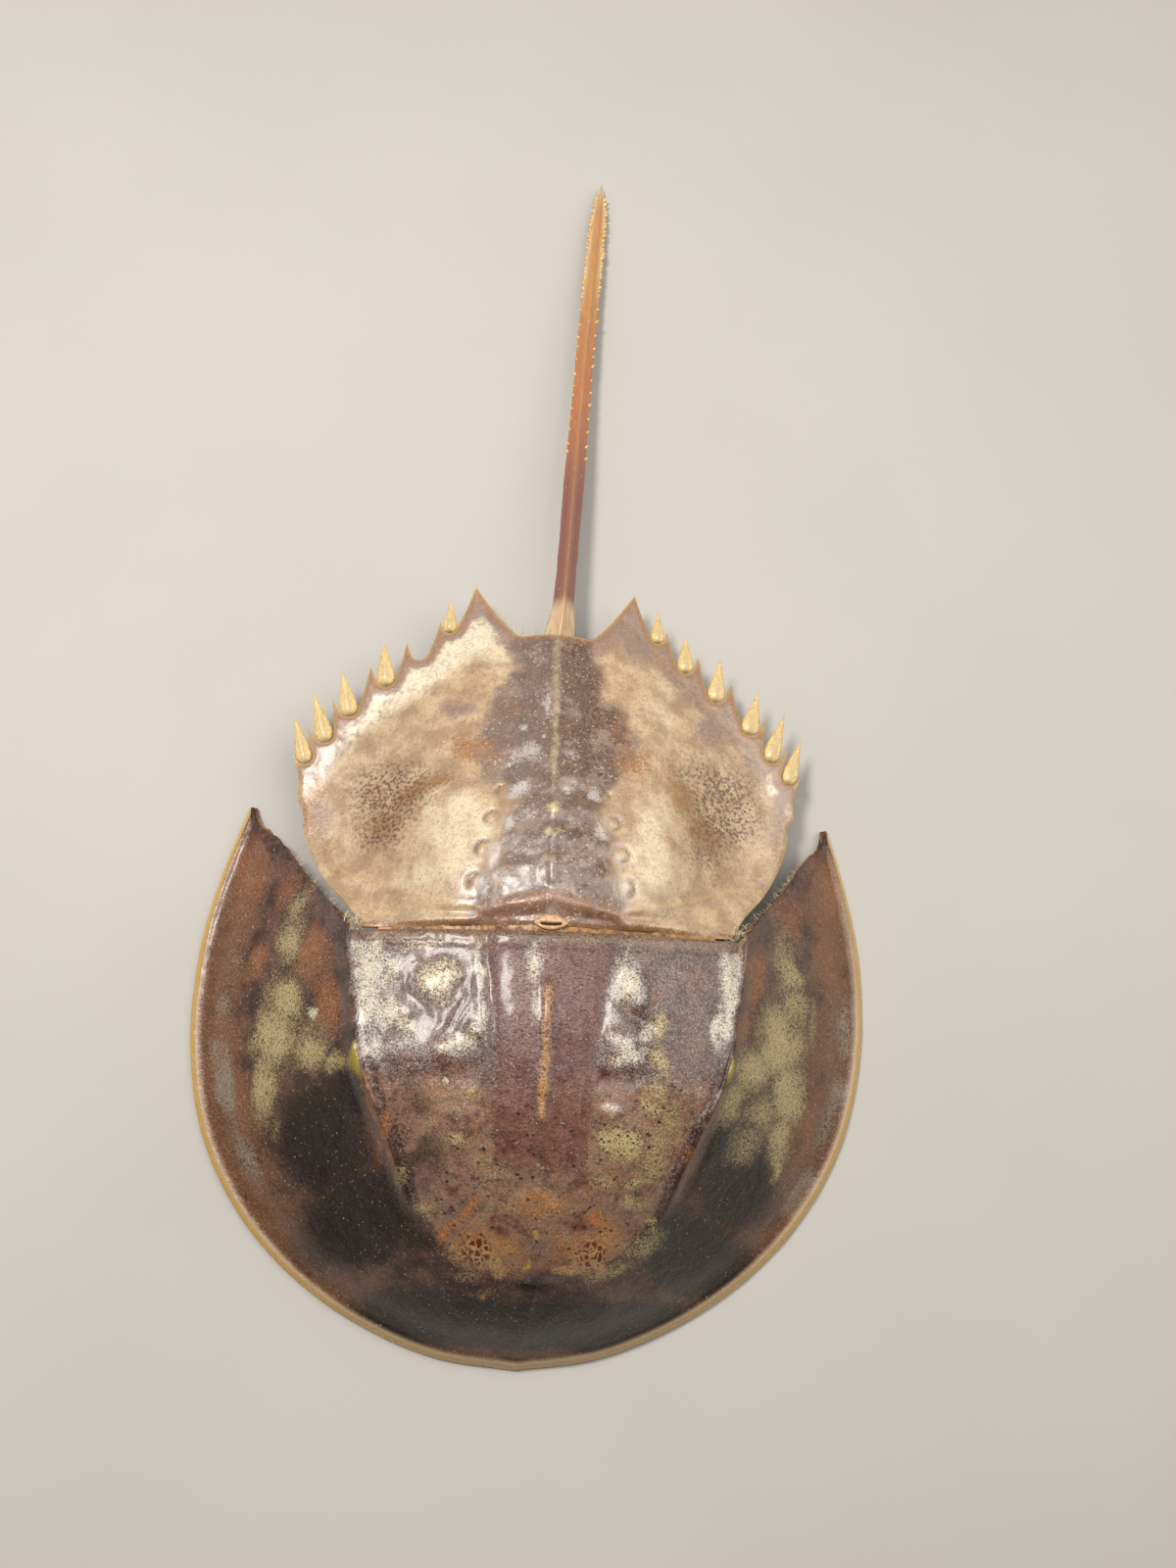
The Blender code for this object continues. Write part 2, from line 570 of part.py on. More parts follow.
def main():
    for thing in list(bpy.data.objects):
        bpy.data.objects.remove(thing)
    new_object("head_shield", build_shield, (0.045, 0.022, 0.016), 0.32)
    new_object("hinge_membrane", build_membrane, (0.35, 0.16, 0.02), 0.45)
    cut_pits(new_object("abdomen_shield", build_abdomen, (0.36, 0.25, 0.13), 0.34))
    new_object("tail_spine", build_tail, (0.3, 0.12, 0.05), 0.35)
    for index in range(len(SOCKETS)):
        number = len(SOCKETS) - index
        new_object(f"side_spine_right_{number}", build_spine(index, 1.0), (0.6, 0.42, 0.15), 0.4)
        if index != MISSING_LEFT_SPINE:
            new_object(f"side_spine_left_{number}", build_spine(index, -1.0), (0.6, 0.42, 0.15), 0.4)
    centre_all(list(bpy.data.objects))


main()
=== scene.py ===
"""Looks of a dried horseshoe crab shell: fine surfaces, finishes, light and camera.

The file is laid out as an add-on and is run as a script once the part is packed. Sizes are in
millimetres, in the shell's own measure: x = 0 on its middle line, y = 0 at its hinge with +Y
towards the tail, and z = 0 on the floor.
"""
import math

import bpy
import numpy as np
from mathutils import Matrix, Vector


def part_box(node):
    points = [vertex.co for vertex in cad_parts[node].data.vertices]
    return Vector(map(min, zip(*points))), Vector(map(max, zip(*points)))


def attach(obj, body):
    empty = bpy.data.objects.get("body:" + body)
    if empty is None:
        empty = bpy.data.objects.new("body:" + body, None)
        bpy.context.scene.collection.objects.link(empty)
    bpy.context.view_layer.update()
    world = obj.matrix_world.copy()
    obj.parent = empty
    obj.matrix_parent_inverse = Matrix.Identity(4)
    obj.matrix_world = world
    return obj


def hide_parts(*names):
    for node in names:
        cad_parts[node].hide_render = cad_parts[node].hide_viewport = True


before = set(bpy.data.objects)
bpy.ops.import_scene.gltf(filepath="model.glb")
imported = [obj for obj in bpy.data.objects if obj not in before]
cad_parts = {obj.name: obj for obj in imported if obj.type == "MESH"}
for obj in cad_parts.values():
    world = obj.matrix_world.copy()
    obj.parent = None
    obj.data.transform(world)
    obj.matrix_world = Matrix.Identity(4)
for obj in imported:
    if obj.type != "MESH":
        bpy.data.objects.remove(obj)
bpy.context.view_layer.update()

bl_info = {
    "name": "Horseshoe Crab Shell",
    "version": (1, 0, 0),
    "blender": (4, 5, 0),
    "location": "3D View > Sidebar > Shell",
    "description": "Builds the fine pieces, finishes and stage of a dried horseshoe crab shell",
    "category": "Object",
}

MM = 0.001
SEED = 41

# Where the shell's own measure lies in the frame, in millimetres
FRONT_RIM_Y = -76.3
SHIFT_X = (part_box("hinge_membrane")[0].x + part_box("hinge_membrane")[1].x) * 0.5 / MM
SHIFT_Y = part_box("head_shield")[0].y / MM - FRONT_RIM_Y
SHIFT = np.array((SHIFT_X, SHIFT_Y, 0.0))

# Head shield, as in the part. Half outlines run down the right side.
RIM_REAR = ((58.2, 27.3), (60.9, 18.5), (63.4, 8.5), (64.8, 0.0), (65.2, -6.0))
RIM_FRONT = ((65.2, -6.0), (65.2, -14.0), (64.2, -23.0), (61.6, -33.5), (57.2, -43.0),
             (50.4, -52.5), (41.0, -61.3), (29.0, -68.8), (15.0, -74.2), (0.0, -76.3))
RIM_SHIFT = -1.2
RIM_SHIFT_PER_Y = 0.018
RIM_TRIM = 0.12
CHEEK_EDGE = ((58.2, 27.3, 1.3), (56.2, 23.2, 4.0), (51.0, 19.0, 8.0), (46.5, 13.3, 12.5),
              (42.0, 8.3, 17.0), (37.8, 3.7, 22.0), (35.2, -0.3, 26.4))
EYE_RIDGE = ((35.0, -3.4), (33.3, -12.0), (31.7, -21.5), (29.8, -27.0), (27.4, -32.0),
             (24.3, -39.5), (21.3, -47.5), (15.5, -54.3), (8.0, -58.0), (0.0, -59.2))
HINGE_HALF_WIDTH = 35.2
HINGE_Y = -0.3
MIDLINE_HEIGHT = ((-60.0, 18.8), (-54.0, 24.0), (-47.0, 28.8), (-40.0, 32.4), (-30.0, 35.7),
                  (-20.0, 36.8), (-10.0, 36.4), (0.0, 34.8), (6.0, 33.2))
RIDGE_HEIGHT = ((-60.0, 18.8), (-54.0, 20.6), (-47.5, 22.6), (-39.5, 26.0), (-32.0, 28.7),
                (-26.0, 29.8), (-20.0, 29.9), (-12.0, 28.8), (-4.0, 27.2), (0.0, 26.4), (6.0, 25.0))
RIDGE_X = tuple((y, x) for x, y in reversed(EYE_RIDGE)) + ((HINGE_Y, HINGE_HALF_WIDTH), (6.0, 35.6))
RIM_EDGE = 1.1
BRIM_DIP = 0.7
BRIM_DISTANCE = 4.5
SHIELD_WALL = 1.4
CHEEK_LIP = 2.2
FOLD_WIDTH = 7.0
FOLD_POINT = 8.0
FOLD_THICKNESS = 1.0
FOLD_APEX = 3.0
WALL_TIP_HEIGHT = 0.2
# Shares of the way up to the ridge, and from there to the rear, where the inner wall has points
WALL_OUTER_SHARES = (0.24, 0.34, 0.46, 0.58, 0.7, 0.82, 0.92)
WALL_INNER_SHARES = (0.04, 0.16, 0.28, 0.4, 0.52, 0.64, 0.76, 0.88)
# Stands for the distance from the rim where a point is nowhere near it
FAR_INSIDE = 60.0

# Head shield: the small relief the photograph shows, as (x, y, ...) places
FURROW_RIGHT = ((-44.0, 7.2), (-34.0, 7.6), (-29.4, 7.9), (-22.5, 8.0), (-15.6, 8.6), (-7.8, 10.2),
                (-1.9, 12.4), (1.0, 13.4))
EYES = ((-32.6, -22.9, 14.7, 3.5, 1.0, 1.1), (32.0, -23.0, -14.7, 2.9, 0.8, -0.9))
FURROW_LEFT = ((-44.0, 7.8), (-34.0, 8.4), (-28.4, 8.8), (-20.4, 8.7), (-10.7, 9.9), (-4.0, 10.8),
               (1.0, 11.6))
KEEL_LINE = ((-0.3, -10.4), (-0.4, -18.0), (-0.6, -25.0), (-0.8, -31.0))
KEEL_FORK = (((-0.8, -31.0), (-2.2, -34.5), (-4.2, -38.4)), ((-0.8, -31.0), (1.4, -34.2), (3.4, -38.0)))
SWIRL = (-19.1, -9.8)
SWIRL_GROOVE = ((-11.6, -6.6), (-13.2, -9.0), (-15.1, -11.5), (-16.6, -14.0), (-18.4, -17.0))
KNOB_LINES = (
    ((-10.7, -13.6), (-10.9, -15.8), (-11.6, -17.6)), ((-11.6, -17.6), (-14.5, -19.6), (-17.5, -20.4)),
    ((-11.6, -17.6), (-10.4, -20.6)))
WRINKLE_LINES = (
    ((-12.6, -13.4), (-14.4, -16.2), (-16.6, -18.4)), ((-13.6, -12.2), (-15.6, -15.4), (-18.0, -18.2)))
SHIELD_DOMES = ((-21.0, -24.0, 6.0, 0.5), (-17.6, -20.9, 3.0, 0.55), (-14.0, -33.0, 4.5, 0.6),
                (15.2, -9.2, 2.7, 0.85), (12.9, -6.6, 1.6, 0.4), (16.4, -11.6, 1.5, 0.35),
                (23.5, -12.5, 5.0, 0.5), (11.6, -18.6, 2.3, 0.85), (15.8, -18.8, 2.6, 0.65),
                (12.6, -21.6, 1.6, 0.35), (10.9, -30.7, 2.3, 0.95), (16.5, -26.0, 2.5, 0.3),
                (22.0, -27.5, 5.0, 0.5), (14.6, -36.5, 4.0, 0.5), (-11.5, -44.0, 4.0, 0.5),
                (10.5, -45.0, 4.0, 0.5), (-10.4, -53.9, 3.2, 0.45), (9.3, -54.2, 3.2, 0.45),
                (-25.0, -14.0, 3.5, 0.35), (-28.0, -6.0, 4.0, 0.3), (-14.8, -35.4, 0.9, 0.35),
                (-11.6, -27.2, 1.4, 0.3), (0.0, -59.5, 2.0, -0.5), (-1.2, -50.2, 1.0, 0.3))
SHIELD_CUTS = (((13.0, -12.9), (15.2, -14.9), (17.4, -16.6), 0.55, 1.0),
               ((9.4, -24.0), (12.0, -24.9), (15.0, -25.0), 0.4, 1.1),
               ((-12.8, -24.2), (-16.0, -25.4), (-20.0, -25.0), 0.25, 1.3),
               ((-13.4, -28.2), (-12.2, -29.2), (-11.0, -29.6), 0.35, 0.5),
               ((-4.0, -43.2), (-1.2, -42.2), (2.4, -43.2), 0.3, 0.7))
EYE_HEIGHT = 1.0
CELL_PLACES = ((-10.4, -53.7), (9.3, -54.0))
CELL_HALF_WIDTH = 2.9
KEEL_KNOT = (-0.3, -10.2)
WHORL = (11.4, -18.4)
FOLDS = (11.0, -30.6)

# Head shield: colour areas, as (x, y, half width, half length, turn in degrees, strength)
KHAKI_AREAS = (
    (-46.4, -12.4, 3.2, 4.6, 10, 1.0), (-48.8, -18.4, 4.2, 5.4, 12, 1.05),
    (-49.4, -26.8, 2.8, 6.4, 6, 0.95), (-41.6, -20.4, 4.0, 3.0, -30, 0.95),
    (-36.6, -23.0, 2.4, 2.2, 0, 0.85), (-47.0, -1.0, 2.2, 4.0, 0, 0.85),
    (-46.0, 5.0, 2.0, 4.4, -12, 0.7), (-43.6, 9.0, 1.6, 3.0, -20, 0.5),
    (-46.6, -34.0, 2.0, 3.4, 10, 0.5), (43.6, -16.6, 5.0, 6.4, 0, 1.25),
    (45.4, -4.6, 3.6, 3.6, 0, 0.95), (37.4, -21.8, 4.0, 4.4, -40, 1.1),
    (33.4, -27.6, 2.8, 5.0, -28, 1.0), (45.4, -26.0, 4.2, 6.0, 0, 1.1),
    (44.2, -34.0, 3.0, 5.0, -14, 1.0), (44.0, -38.6, 1.4, 2.8, 0, 0.9),
    (39.6, -29.6, 4.4, 4.4, 0, 0.75), (36.4, -35.6, 4.0, 5.4, -30, 0.65),
    (51.0, -12.0, 2.0, 7.0, 0, 0.55), (47.4, -10.0, 3.0, 4.4, 0, 0.75), (21.0, -31.0, 3.0, 4.0, 0, 0.7),
    (-13.2, -27.6, 2.2, 1.3, 0, 0.75), (-14.4, -35.4, 2.4, 1.3, 0, 0.9),
    (12.9, -35.2, 4.2, 2.7, -12, 1.1), (17.4, -29.0, 2.0, 2.4, 0, 0.85),
    (16.0, -41.6, 1.4, 1.4, 0, 1.15), (16.0, -45.6, 2.6, 1.6, 0, 0.8), (18.6, -48.2, 1.1, 1.1, 0, 0.9),
    (19.4, -15.0, 1.5, 2.6, 0, 0.85), (19.6, -21.4, 1.8, 3.6, 0, 0.9), (18.4, -26.4, 2.4, 2.4, 0, 0.7),
    (18.4, -37.6, 2.6, 5.6, -18, 0.75), (11.0, -41.2, 4.6, 2.4, 10, 0.6),
    (-1.3, -40.2, 1.3, 0.9, 0, 0.7), (-18.8, -46.6, 3.0, 2.2, 0, 0.75),
    (18.0, -52.6, 5.0, 3.0, 30, 0.7), (12.4, -57.4, 5.4, 1.8, 14, 0.7), (-8.0, -40.6, 3.4, 2.0, 0, 0.5),
    (4.4, -51.6, 2.2, 3.4, 0, 0.5), (-23.6, -41.6, 1.8, 3.2, -22, 0.6),
    (-12.4, -58.8, 4.6, 1.6, -8, 0.55), (-47.0, -15.0, 6.0, 12.0, 8, 0.62),
    (-42.0, -19.0, 6.0, 5.0, 0, 0.6), (-46.4, 3.0, 3.2, 9.0, -8, 0.55),
    (43.4, -18.0, 6.4, 12.0, 0, 0.66), (40.0, -30.0, 6.0, 8.0, -20, 0.6),
    (45.4, -3.0, 4.4, 9.0, 0, 0.6), (20.0, -34.0, 6.0, 10.0, -20, 0.55),
    (-18.0, -28.0, 7.0, 6.0, 0, 0.4))
# Cream growth, laid wider on the plates and knobs as a painted highlight
PALE_AND_HIGHLIGHT_AREAS = (
    (-19.3, -9.2, 3.9, 3.0, 0, 1.0), (-21.6, -2.9, 4.6, 1.2, 0, 0.8), (-27.2, -7.4, 2.0, 3.4, 0, 0.8),
    (-26.8, -14.6, 2.0, 3.2, 0, 0.85), (-23.4, -18.4, 2.8, 1.6, -30, 0.75),
    (-30.6, -5.6, 2.4, 5.6, 2, 0.85), (-18.6, -12.6, 1.4, 0.9, 0, 0.75),
    (14.8, -7.6, 1.6, 2.4, 10, 0.8), (12.4, -5.0, 1.2, 2.4, 0, 0.75), (12.4, -17.6, 2.0, 1.8, 0, 0.7),
    (16.2, -19.0, 2.6, 1.2, 20, 0.8), (12.2, -21.4, 1.8, 1.0, 0, 0.75),
    (-12.2, -17.0, 1.6, 2.0, 0, 0.75), (-15.6, -20.6, 3.6, 1.3, 10, 0.85),
    (-16.9, -25.9, 0.55, 0.45, 0, 1.2), (-41.4, -14.9, 1.1, 1.7, 20, 1.25),
    (-15.8, -36.6, 0.4, 0.6, 0, 1.1), (-12.0, -3.4, 1.6, 1.4, 0, 0.7), (-12.4, -13.0, 1.2, 1.8, 0, 0.6),
    (10.6, -30.6, 1.6, 1.0, 0, 0.6), (-30.0, -12.0, 2.6, 4.6, 0, 0.75),
    (-14.6, -19.0, 4.4, 1.6, 8, 0.8), (-24.6, -16.4, 3.6, 2.2, -30, 0.75))
# Whitish bloom, laid on together with painted highlights of the plates, knobs and the strips inside the eye
# ridges
HIGHLIGHT_AND_BLOOM_AREAS = (
    (-30.4, -7.4, 3.6, 7.4, 2, 1.2), (-28.4, -14.4, 3.4, 4.6, -12, 1.05), (-11.4, -7.4, 1.1, 5.8, 4, 1.1),
    (-11.6, -15.6, 1.0, 3.6, 0, 0.95), (-15.8, -20.2, 4.6, 1.7, 8, 1.0), (-20.4, -4.4, 5.4, 1.3, 0, 0.6),
    (-2.6, -6.0, 1.5, 5.0, 0, 1.1), (-2.0, -13.0, 1.1, 4.4, 0, 0.85), (13.8, -8.4, 3.0, 5.0, 12, 1.2),
    (12.8, -20.0, 3.6, 3.4, 0, 1.25), (17.2, -17.6, 2.6, 1.6, 30, 1.05), (11.8, -14.0, 1.4, 2.6, 0, 0.9),
    (11.2, -30.6, 2.2, 0.9, 0, 1.0), (31.4, -7.6, 2.4, 7.4, 3, 1.3), (29.6, -16.4, 1.7, 5.4, -8, 1.1),
    (26.6, -31.0, 0.7, 5.0, -28, 0.6), (-29.6, -20.6, 3.4, 4.0, -10, 1.0),
    (-24.0, -19.6, 4.6, 2.4, 0, 0.85), (26.0, -13.0, 5.0, 9.0, 0, 0.55), (20.6, -8.0, 5.0, 6.0, 0, 0.5),
    (24.6, -26.0, 3.6, 6.0, -14, 0.5))
RUST_AREAS = (
    (-57.0, 12.0, 4.4, 9.0, -14, 0.85), (-53.4, -4.6, 2.4, 3.6, -30, 1.0), (-49.0, 8.0, 3.2, 5.0, -20, 0.7),
    (-42.0, -3.0, 3.6, 5.6, 0, 1.05), (-38.6, -12.4, 2.8, 6.4, 4, 0.95), (-59.6, -20.0, 2.0, 11.0, 0, 0.55),
    (56.0, 14.0, 4.4, 9.0, 14, 0.85), (47.0, 6.0, 5.0, 6.0, 0, 0.7), (38.0, -6.0, 2.6, 7.0, -4, 0.9),
    (56.0, -2.0, 3.4, 9.0, 0, 0.7), (35.0, -15.0, 1.6, 6.0, -8, 0.95), (-54.0, -30.0, 1.8, 9.0, 14, 0.7),
    (-26.2, -33.6, 1.5, 6.0, -24, 0.95), (-29.6, -27.4, 1.4, 3.4, -12, 0.85), (-23.5, -23.0, 3.0, 2.4, 0, 0.6),
    (50.0, -33.0, 1.8, 8.0, -16, 0.7), (19.0, -10.6, 2.6, 2.6, 0, 0.7), (24.0, -6.0, 4.0, 3.0, 0, 0.45),
    (24.4, -36.0, 1.6, 6.6, 24, 0.7), (-50.0, -46.6, 2.2, 7.0, 34, 0.55), (49.0, -46.0, 2.2, 7.0, -36, 0.5))
SLATE_AREAS = (
    (-38.4, -36.0, 8.0, 9.0, 14, 1.1), (-34.0, -28.0, 3.4, 4.6, 0, 0.95), (36.0, -43.0, 7.6, 8.0, -20, 1.1),
    (6.0, -67.0, 26.0, 4.8, 0, 1.15), (-20.0, -66.0, 14.0, 5.0, 10, 1.1), (-32.0, -50.0, 10.0, 8.0, 30, 1.15),
    (29.0, -55.0, 12.0, 7.0, -30, 1.1), (-22.0, -29.4, 2.6, 2.8, 0, 0.8), (-20.0, -39.6, 4.6, 5.0, 0, 0.8),
    (4.4, -5.8, 2.8, 3.2, 0, 0.6), (-0.3, -38.0, 1.8, 3.6, 0, 1.0), (-0.8, -59.4, 2.4, 1.3, 0, 1.1),
    (19.5, -45.5, 3.2, 2.4, 0, 0.5), (31.6, -35.0, 2.4, 5.0, -24, 0.9), (-21.0, -52.0, 4.0, 3.0, 0, 0.7),
    (21.0, -34.0, 1.8, 1.8, 0, 0.6), (-24.0, -11.2, 1.5, 1.6, 0, 0.6), (-20.2, -15.2, 2.4, 1.1, 0, 0.6))
MAROON_AREAS = (
    (9.9, -25.4, 2.3, 1.6, 0, 0.95), (6.2, -19.0, 0.9, 5.2, 4, 1.05), (5.9, -27.6, 1.0, 4.6, 0, 0.85),
    (15.6, -14.8, 1.6, 0.8, -40, 0.5), (3.6, -37.2, 0.9, 1.3, 10, 1.1), (-12.0, -13.2, 1.3, 0.9, 0, 0.8),
    (-7.4, -14.4, 1.0, 3.6, 0, 0.7), (-23.6, -10.4, 0.9, 2.4, 0, 0.65), (-13.0, -8.9, 0.9, 3.0, -38, 0.9),
    (-16.4, -14.6, 0.9, 2.8, -28, 0.8), (-12.8, -28.2, 1.2, 0.8, 0, 0.95), (-11.0, -32.0, 3.0, 3.6, 20, 0.65),
    (-15.0, -42.8, 2.6, 1.2, 0, 0.75), (6.6, -41.5, 3.6, 3.0, 0, 0.8), (8.4, -8.6, 1.6, 5.0, -10, 0.6),
    (-6.6, -36.0, 1.4, 3.6, -30, 0.8), (-6.4, -48.8, 4.4, 2.4, 0, 0.8), (7.2, -48.6, 3.6, 2.4, 0, 0.8),
    (-27.0, -20.6, 2.6, 1.8, 0, 0.5), (26.4, -24.0, 3.2, 5.0, 0, 0.5), (23.0, -9.0, 3.4, 4.0, 0, 0.4))
STAIN_AREAS = (
    (-8.4, -52.4, 8.4, 5.0, -6, 1.0), (8.4, -52.0, 7.4, 5.0, 6, 1.0), (0.0, -45.6, 8.0, 3.2, 0, 0.85),
    (-6.0, -58.6, 6.0, 2.0, 6, 0.75), (-16.6, -28.0, 4.0, 3.0, 0, 0.5), (-9.4, -22.0, 2.0, 5.0, 0, 0.4))
TAN_AREAS = (
    (-10.2, -54.6, 3.4, 2.9, 0, 1.05), (-7.2, -56.6, 3.2, 1.8, -20, 0.9),
    (9.0, -54.8, 3.2, 2.7, 0, 1.0), (6.0, -56.0, 2.8, 1.5, 0, 0.85), (-14.6, -52.4, 1.6, 2.2, 0, 0.6),
    (12.6, -55.0, 1.4, 2.4, 0, 0.5))
ORANGE_AREAS = (
    (-12.4, -46.4, 2.2, 1.4, 20, 1.15), (-14.9, -48.2, 2.2, 1.1, 42, 1.0),
    (-16.9, -50.8, 1.1, 2.1, -10, 0.9), (-16.9, -54.0, 1.0, 2.0, 10, 0.6),
    (10.4, -47.5, 2.6, 1.5, -18, 1.15), (12.7, -49.8, 1.2, 2.2, 20, 0.95),
    (-2.8, -44.9, 1.6, 0.9, 25, 0.85), (-0.8, -44.1, 1.9, 0.9, 0, 0.9),
    (1.6, -44.9, 1.4, 1.0, -30, 0.8), (-9.6, -60.4, 3.6, 1.4, 4, 0.8), (-4.0, -58.6, 1.8, 1.1, 0, 0.65),
    (-1.6, -48.0, 0.7, 2.4, 0, 0.6))
YELLOW_AREAS = (
    (-1.2, -50.0, 0.7, 1.1, 0, 1.1), (-1.8, -56.6, 1.1, 0.8, 0, 1.1), (-0.4, -54.0, 0.6, 1.0, 0, 0.6),
    (-19.6, -45.4, 0.7, 0.7, 0, 0.8), (19.0, -47.6, 0.7, 1.2, 0, 0.8))
STREAK_LINES = (
    ((-58.2, -4.0), (-59.4, -9.0), (-60.4, -16.0), (-59.0, -25.0), (-55.6, -33.0), (-50.6, -45.0)),
    ((58.4, -6.0), (59.6, -17.0), (58.6, -24.0), (56.0, -30.5), (53.2, -38.5), (48.6, -46.5)))

# Abdomen shield, as in the part
ABDOMEN_FRONT_Y = 0.7
SHOULDER = ((33.4, 0.7), (34.2, 2.2), (36.8, 5.6), (41.6, 10.8), (45.4, 17.0), (47.2, 22.0), (47.7, 26.0),
            (48.7, 26.9), (48.85, 31.5), (50.7, 36.6))
SOCKETS = ((48.2, 35.9), (44.6, 40.5), (40.3, 46.2), (33.3, 52.7), (26.9, 58.5), (21.2, 64.4))
TEETH = ((48.4, 42.4), (43.7, 48.4), (36.6, 55.4), (29.7, 60.8), (23.1, 65.9), (16.3, 73.3))
REAR_EDGE = ((0.0, 60.6), (3.4, 60.5), (6.7, 60.6), (8.0, 61.3), (10.2, 64.0), (13.4, 68.9), (16.3, 73.3))
INNER_LINE = ((29.5, 0.7), (31.6, 4.6), (35.8, 9.6), (40.2, 15.6), (42.6, 21.0), (43.6, 27.0), (43.3, 32.4),
              (40.4, 37.8), (36.6, 42.6), (30.6, 48.6), (24.2, 54.4), (18.4, 60.2), (12.4, 67.2))
AXIS_HEIGHT = ((0.0, 34.2), (5.0, 34.9), (12.0, 33.9), (22.0, 31.2), (34.0, 27.6), (45.0, 23.8),
               (55.0, 19.6), (60.4, 17.0), (74.0, 11.0))
AXIS_EDGE_DROP = ((0.0, 3.4), (10.0, 2.8), (30.0, 2.4), (60.0, 2.0), (74.0, 1.6))
AXIS_HALF_WIDTH = ((0.0, 12.0), (8.5, 12.9), (14.7, 11.8), (20.5, 10.6), (26.0, 9.4), (30.5, 8.0),
                   (34.0, 7.0), (45.0, 6.8), (60.4, 6.7), (74.0, 6.7))
MARGIN_X = ((0.0, 33.4), (2.0, 34.0), (5.6, 36.8), (10.8, 41.6), (17.0, 45.4), (22.0, 47.4),
            (28.0, 49.0), (36.8, 51.2), (42.4, 48.8), (48.4, 44.0), (55.4, 37.0), (60.8, 30.2),
            (65.9, 23.8), (73.5, 16.6))
MARGIN_HEIGHT = ((0.0, 25.8), (2.0, 23.8), (5.6, 19.4), (10.8, 14.4), (17.0, 11.0), (22.0, 9.4),
                 (28.0, 8.4), (36.8, 7.4), (48.4, 7.0), (60.8, 7.2), (73.5, 8.2))
LOBE_SWELL = 0.085
ABDOMEN_WALL = 1.3
SOCKET_GAP = 0.3
LOBE_DENT = (-33.3, 47.6)
# The solid that cuts the outline reaches from below the floor to above the shell
CUTTER_BASE = -5.0
CUTTER_HEIGHT = 60.0
LEAST_VERTICES = 10000
CREASE_DEGREES = 50.0

# Pale knob in the middle of the hinge: its place, and its half width, depth and height
KNOB_PLACE = (0.0, 1.2, 34.3)
KNOB_SIZE = (3.0, 1.3, 0.7)

# Hinge membrane: its half length, the middle and half of its depth, and how far it lies down
MEMBRANE_REACH = 30.3
MEMBRANE_Y = 0.2
MEMBRANE_HALF_DEPTH = 1.75
MEMBRANE_DROP = 0.9

# Abdomen shield: the small relief the photograph shows
PITS = ((-13.2, 8.3), (-12.3, 14.6), (-11.0, 20.5), (-9.5, 25.9), (-8.0, 30.4),
        (13.2, 8.3), (12.3, 14.6), (11.0, 20.5), (9.5, 25.9), (8.0, 30.4))
PIT_RADII = (1.7, 1.6, 1.55, 1.1, 0.8, 1.75, 1.6, 1.4, 1.0, 0.8)
PIT_SLITS = ((-9.3, 18.1), (-10.2, 12.1), (-11.2, 6.2), (8.6, 18.0), (9.2, 12.1), (9.8, 5.8))
KEEL_NODES = ((0.0, 22.2), (-0.2, 17.5), (-0.6, 12.5))
ARCH = ((-12.4, 3.0), (-8.0, 3.9), (-3.4, 4.8), (-0.3, 5.6), (3.2, 4.8), (8.0, 3.8), (12.4, 2.9))
FINE_LINES = (((-41.4, 18.1), (-38.9, 12.7), (-34.6, 11.0), (-28.1, 8.3), (-20.5, 4.7), (-12.3, 3.9)),
              ((42.4, 15.2), (38.7, 12.9), (31.3, 9.7), (24.1, 6.7), (13.6, 4.1)))

# Abdomen shield: colour areas
LOBE_PALE_AREAS = (
    (-17.4, 17.6, 5.4, 8.6, 14, 1.1), (-21.4, 10.0, 6.4, 3.4, 0, 0.85), (-14.0, 23.6, 2.4, 3.0, 0, 0.8),
    (17.4, 18.6, 4.6, 8.4, -8, 1.1), (19.8, 10.6, 5.4, 4.0, 0, 0.9), (-27.4, 39.4, 5.0, 4.0, -40, 0.5),
    (21.4, 45.0, 4.6, 9.0, 0, 0.65), (-12.2, 57.0, 3.6, 5.4, 20, 1.1), (31.0, 37.0, 6.0, 4.4, 30, 0.5),
    (-28.0, 8.4, 3.0, 1.6, -20, 0.6))
LOBE_GREY_AREAS = (
    (-18.4, 43.8, 4.0, 2.6, 0, 1.0), (16.8, 60.4, 4.0, 4.4, 0, 1.05), (34.0, 45.0, 7.5, 3.6, 45, 1.0),
    (-14.6, 67.6, 3.4, 4.4, 20, 1.0), (28.0, 51.6, 5.6, 3.6, 45, 0.95), (-13.0, 28.4, 2.4, 3.0, 0, 0.65),
    (16.0, 67.0, 3.0, 4.0, 0, 1.0), (-13.4, 4.8, 4.4, 1.6, 0, 0.7), (18.5, 3.6, 5.0, 1.4, 20, 0.75),
    (-44.4, 24.0, 2.4, 8.0, 6, 0.9), (45.4, 27.0, 2.6, 9.0, -6, 0.9), (41.0, 14.0, 3.0, 3.4, -30, 0.7),
    (-41.0, 14.4, 2.6, 4.0, 30, 0.7), (24.0, 57.0, 4.0, 3.0, 45, 0.8), (40.0, 39.0, 3.4, 3.4, 0, 0.7))
LOBE_ORANGE_AREAS = (
    (-14.6, 34.2, 4.6, 3.8, 0, 1.15), (-17.6, 37.0, 4.0, 3.0, 0, 0.8), (14.4, 33.8, 3.8, 4.6, 0, 1.15),
    (11.8, 38.6, 3.6, 4.0, 0, 0.8), (-45.6, 27.0, 2.6, 7.0, 0, 1.15), (-42.2, 17.2, 1.4, 4.2, 20, 0.8),
    (45.4, 22.0, 1.2, 6.0, 10, 0.7), (-38.6, 12.4, 1.6, 2.4, 30, 0.6), (-8.8, 44.0, 2.4, 4.4, 0, 0.7))
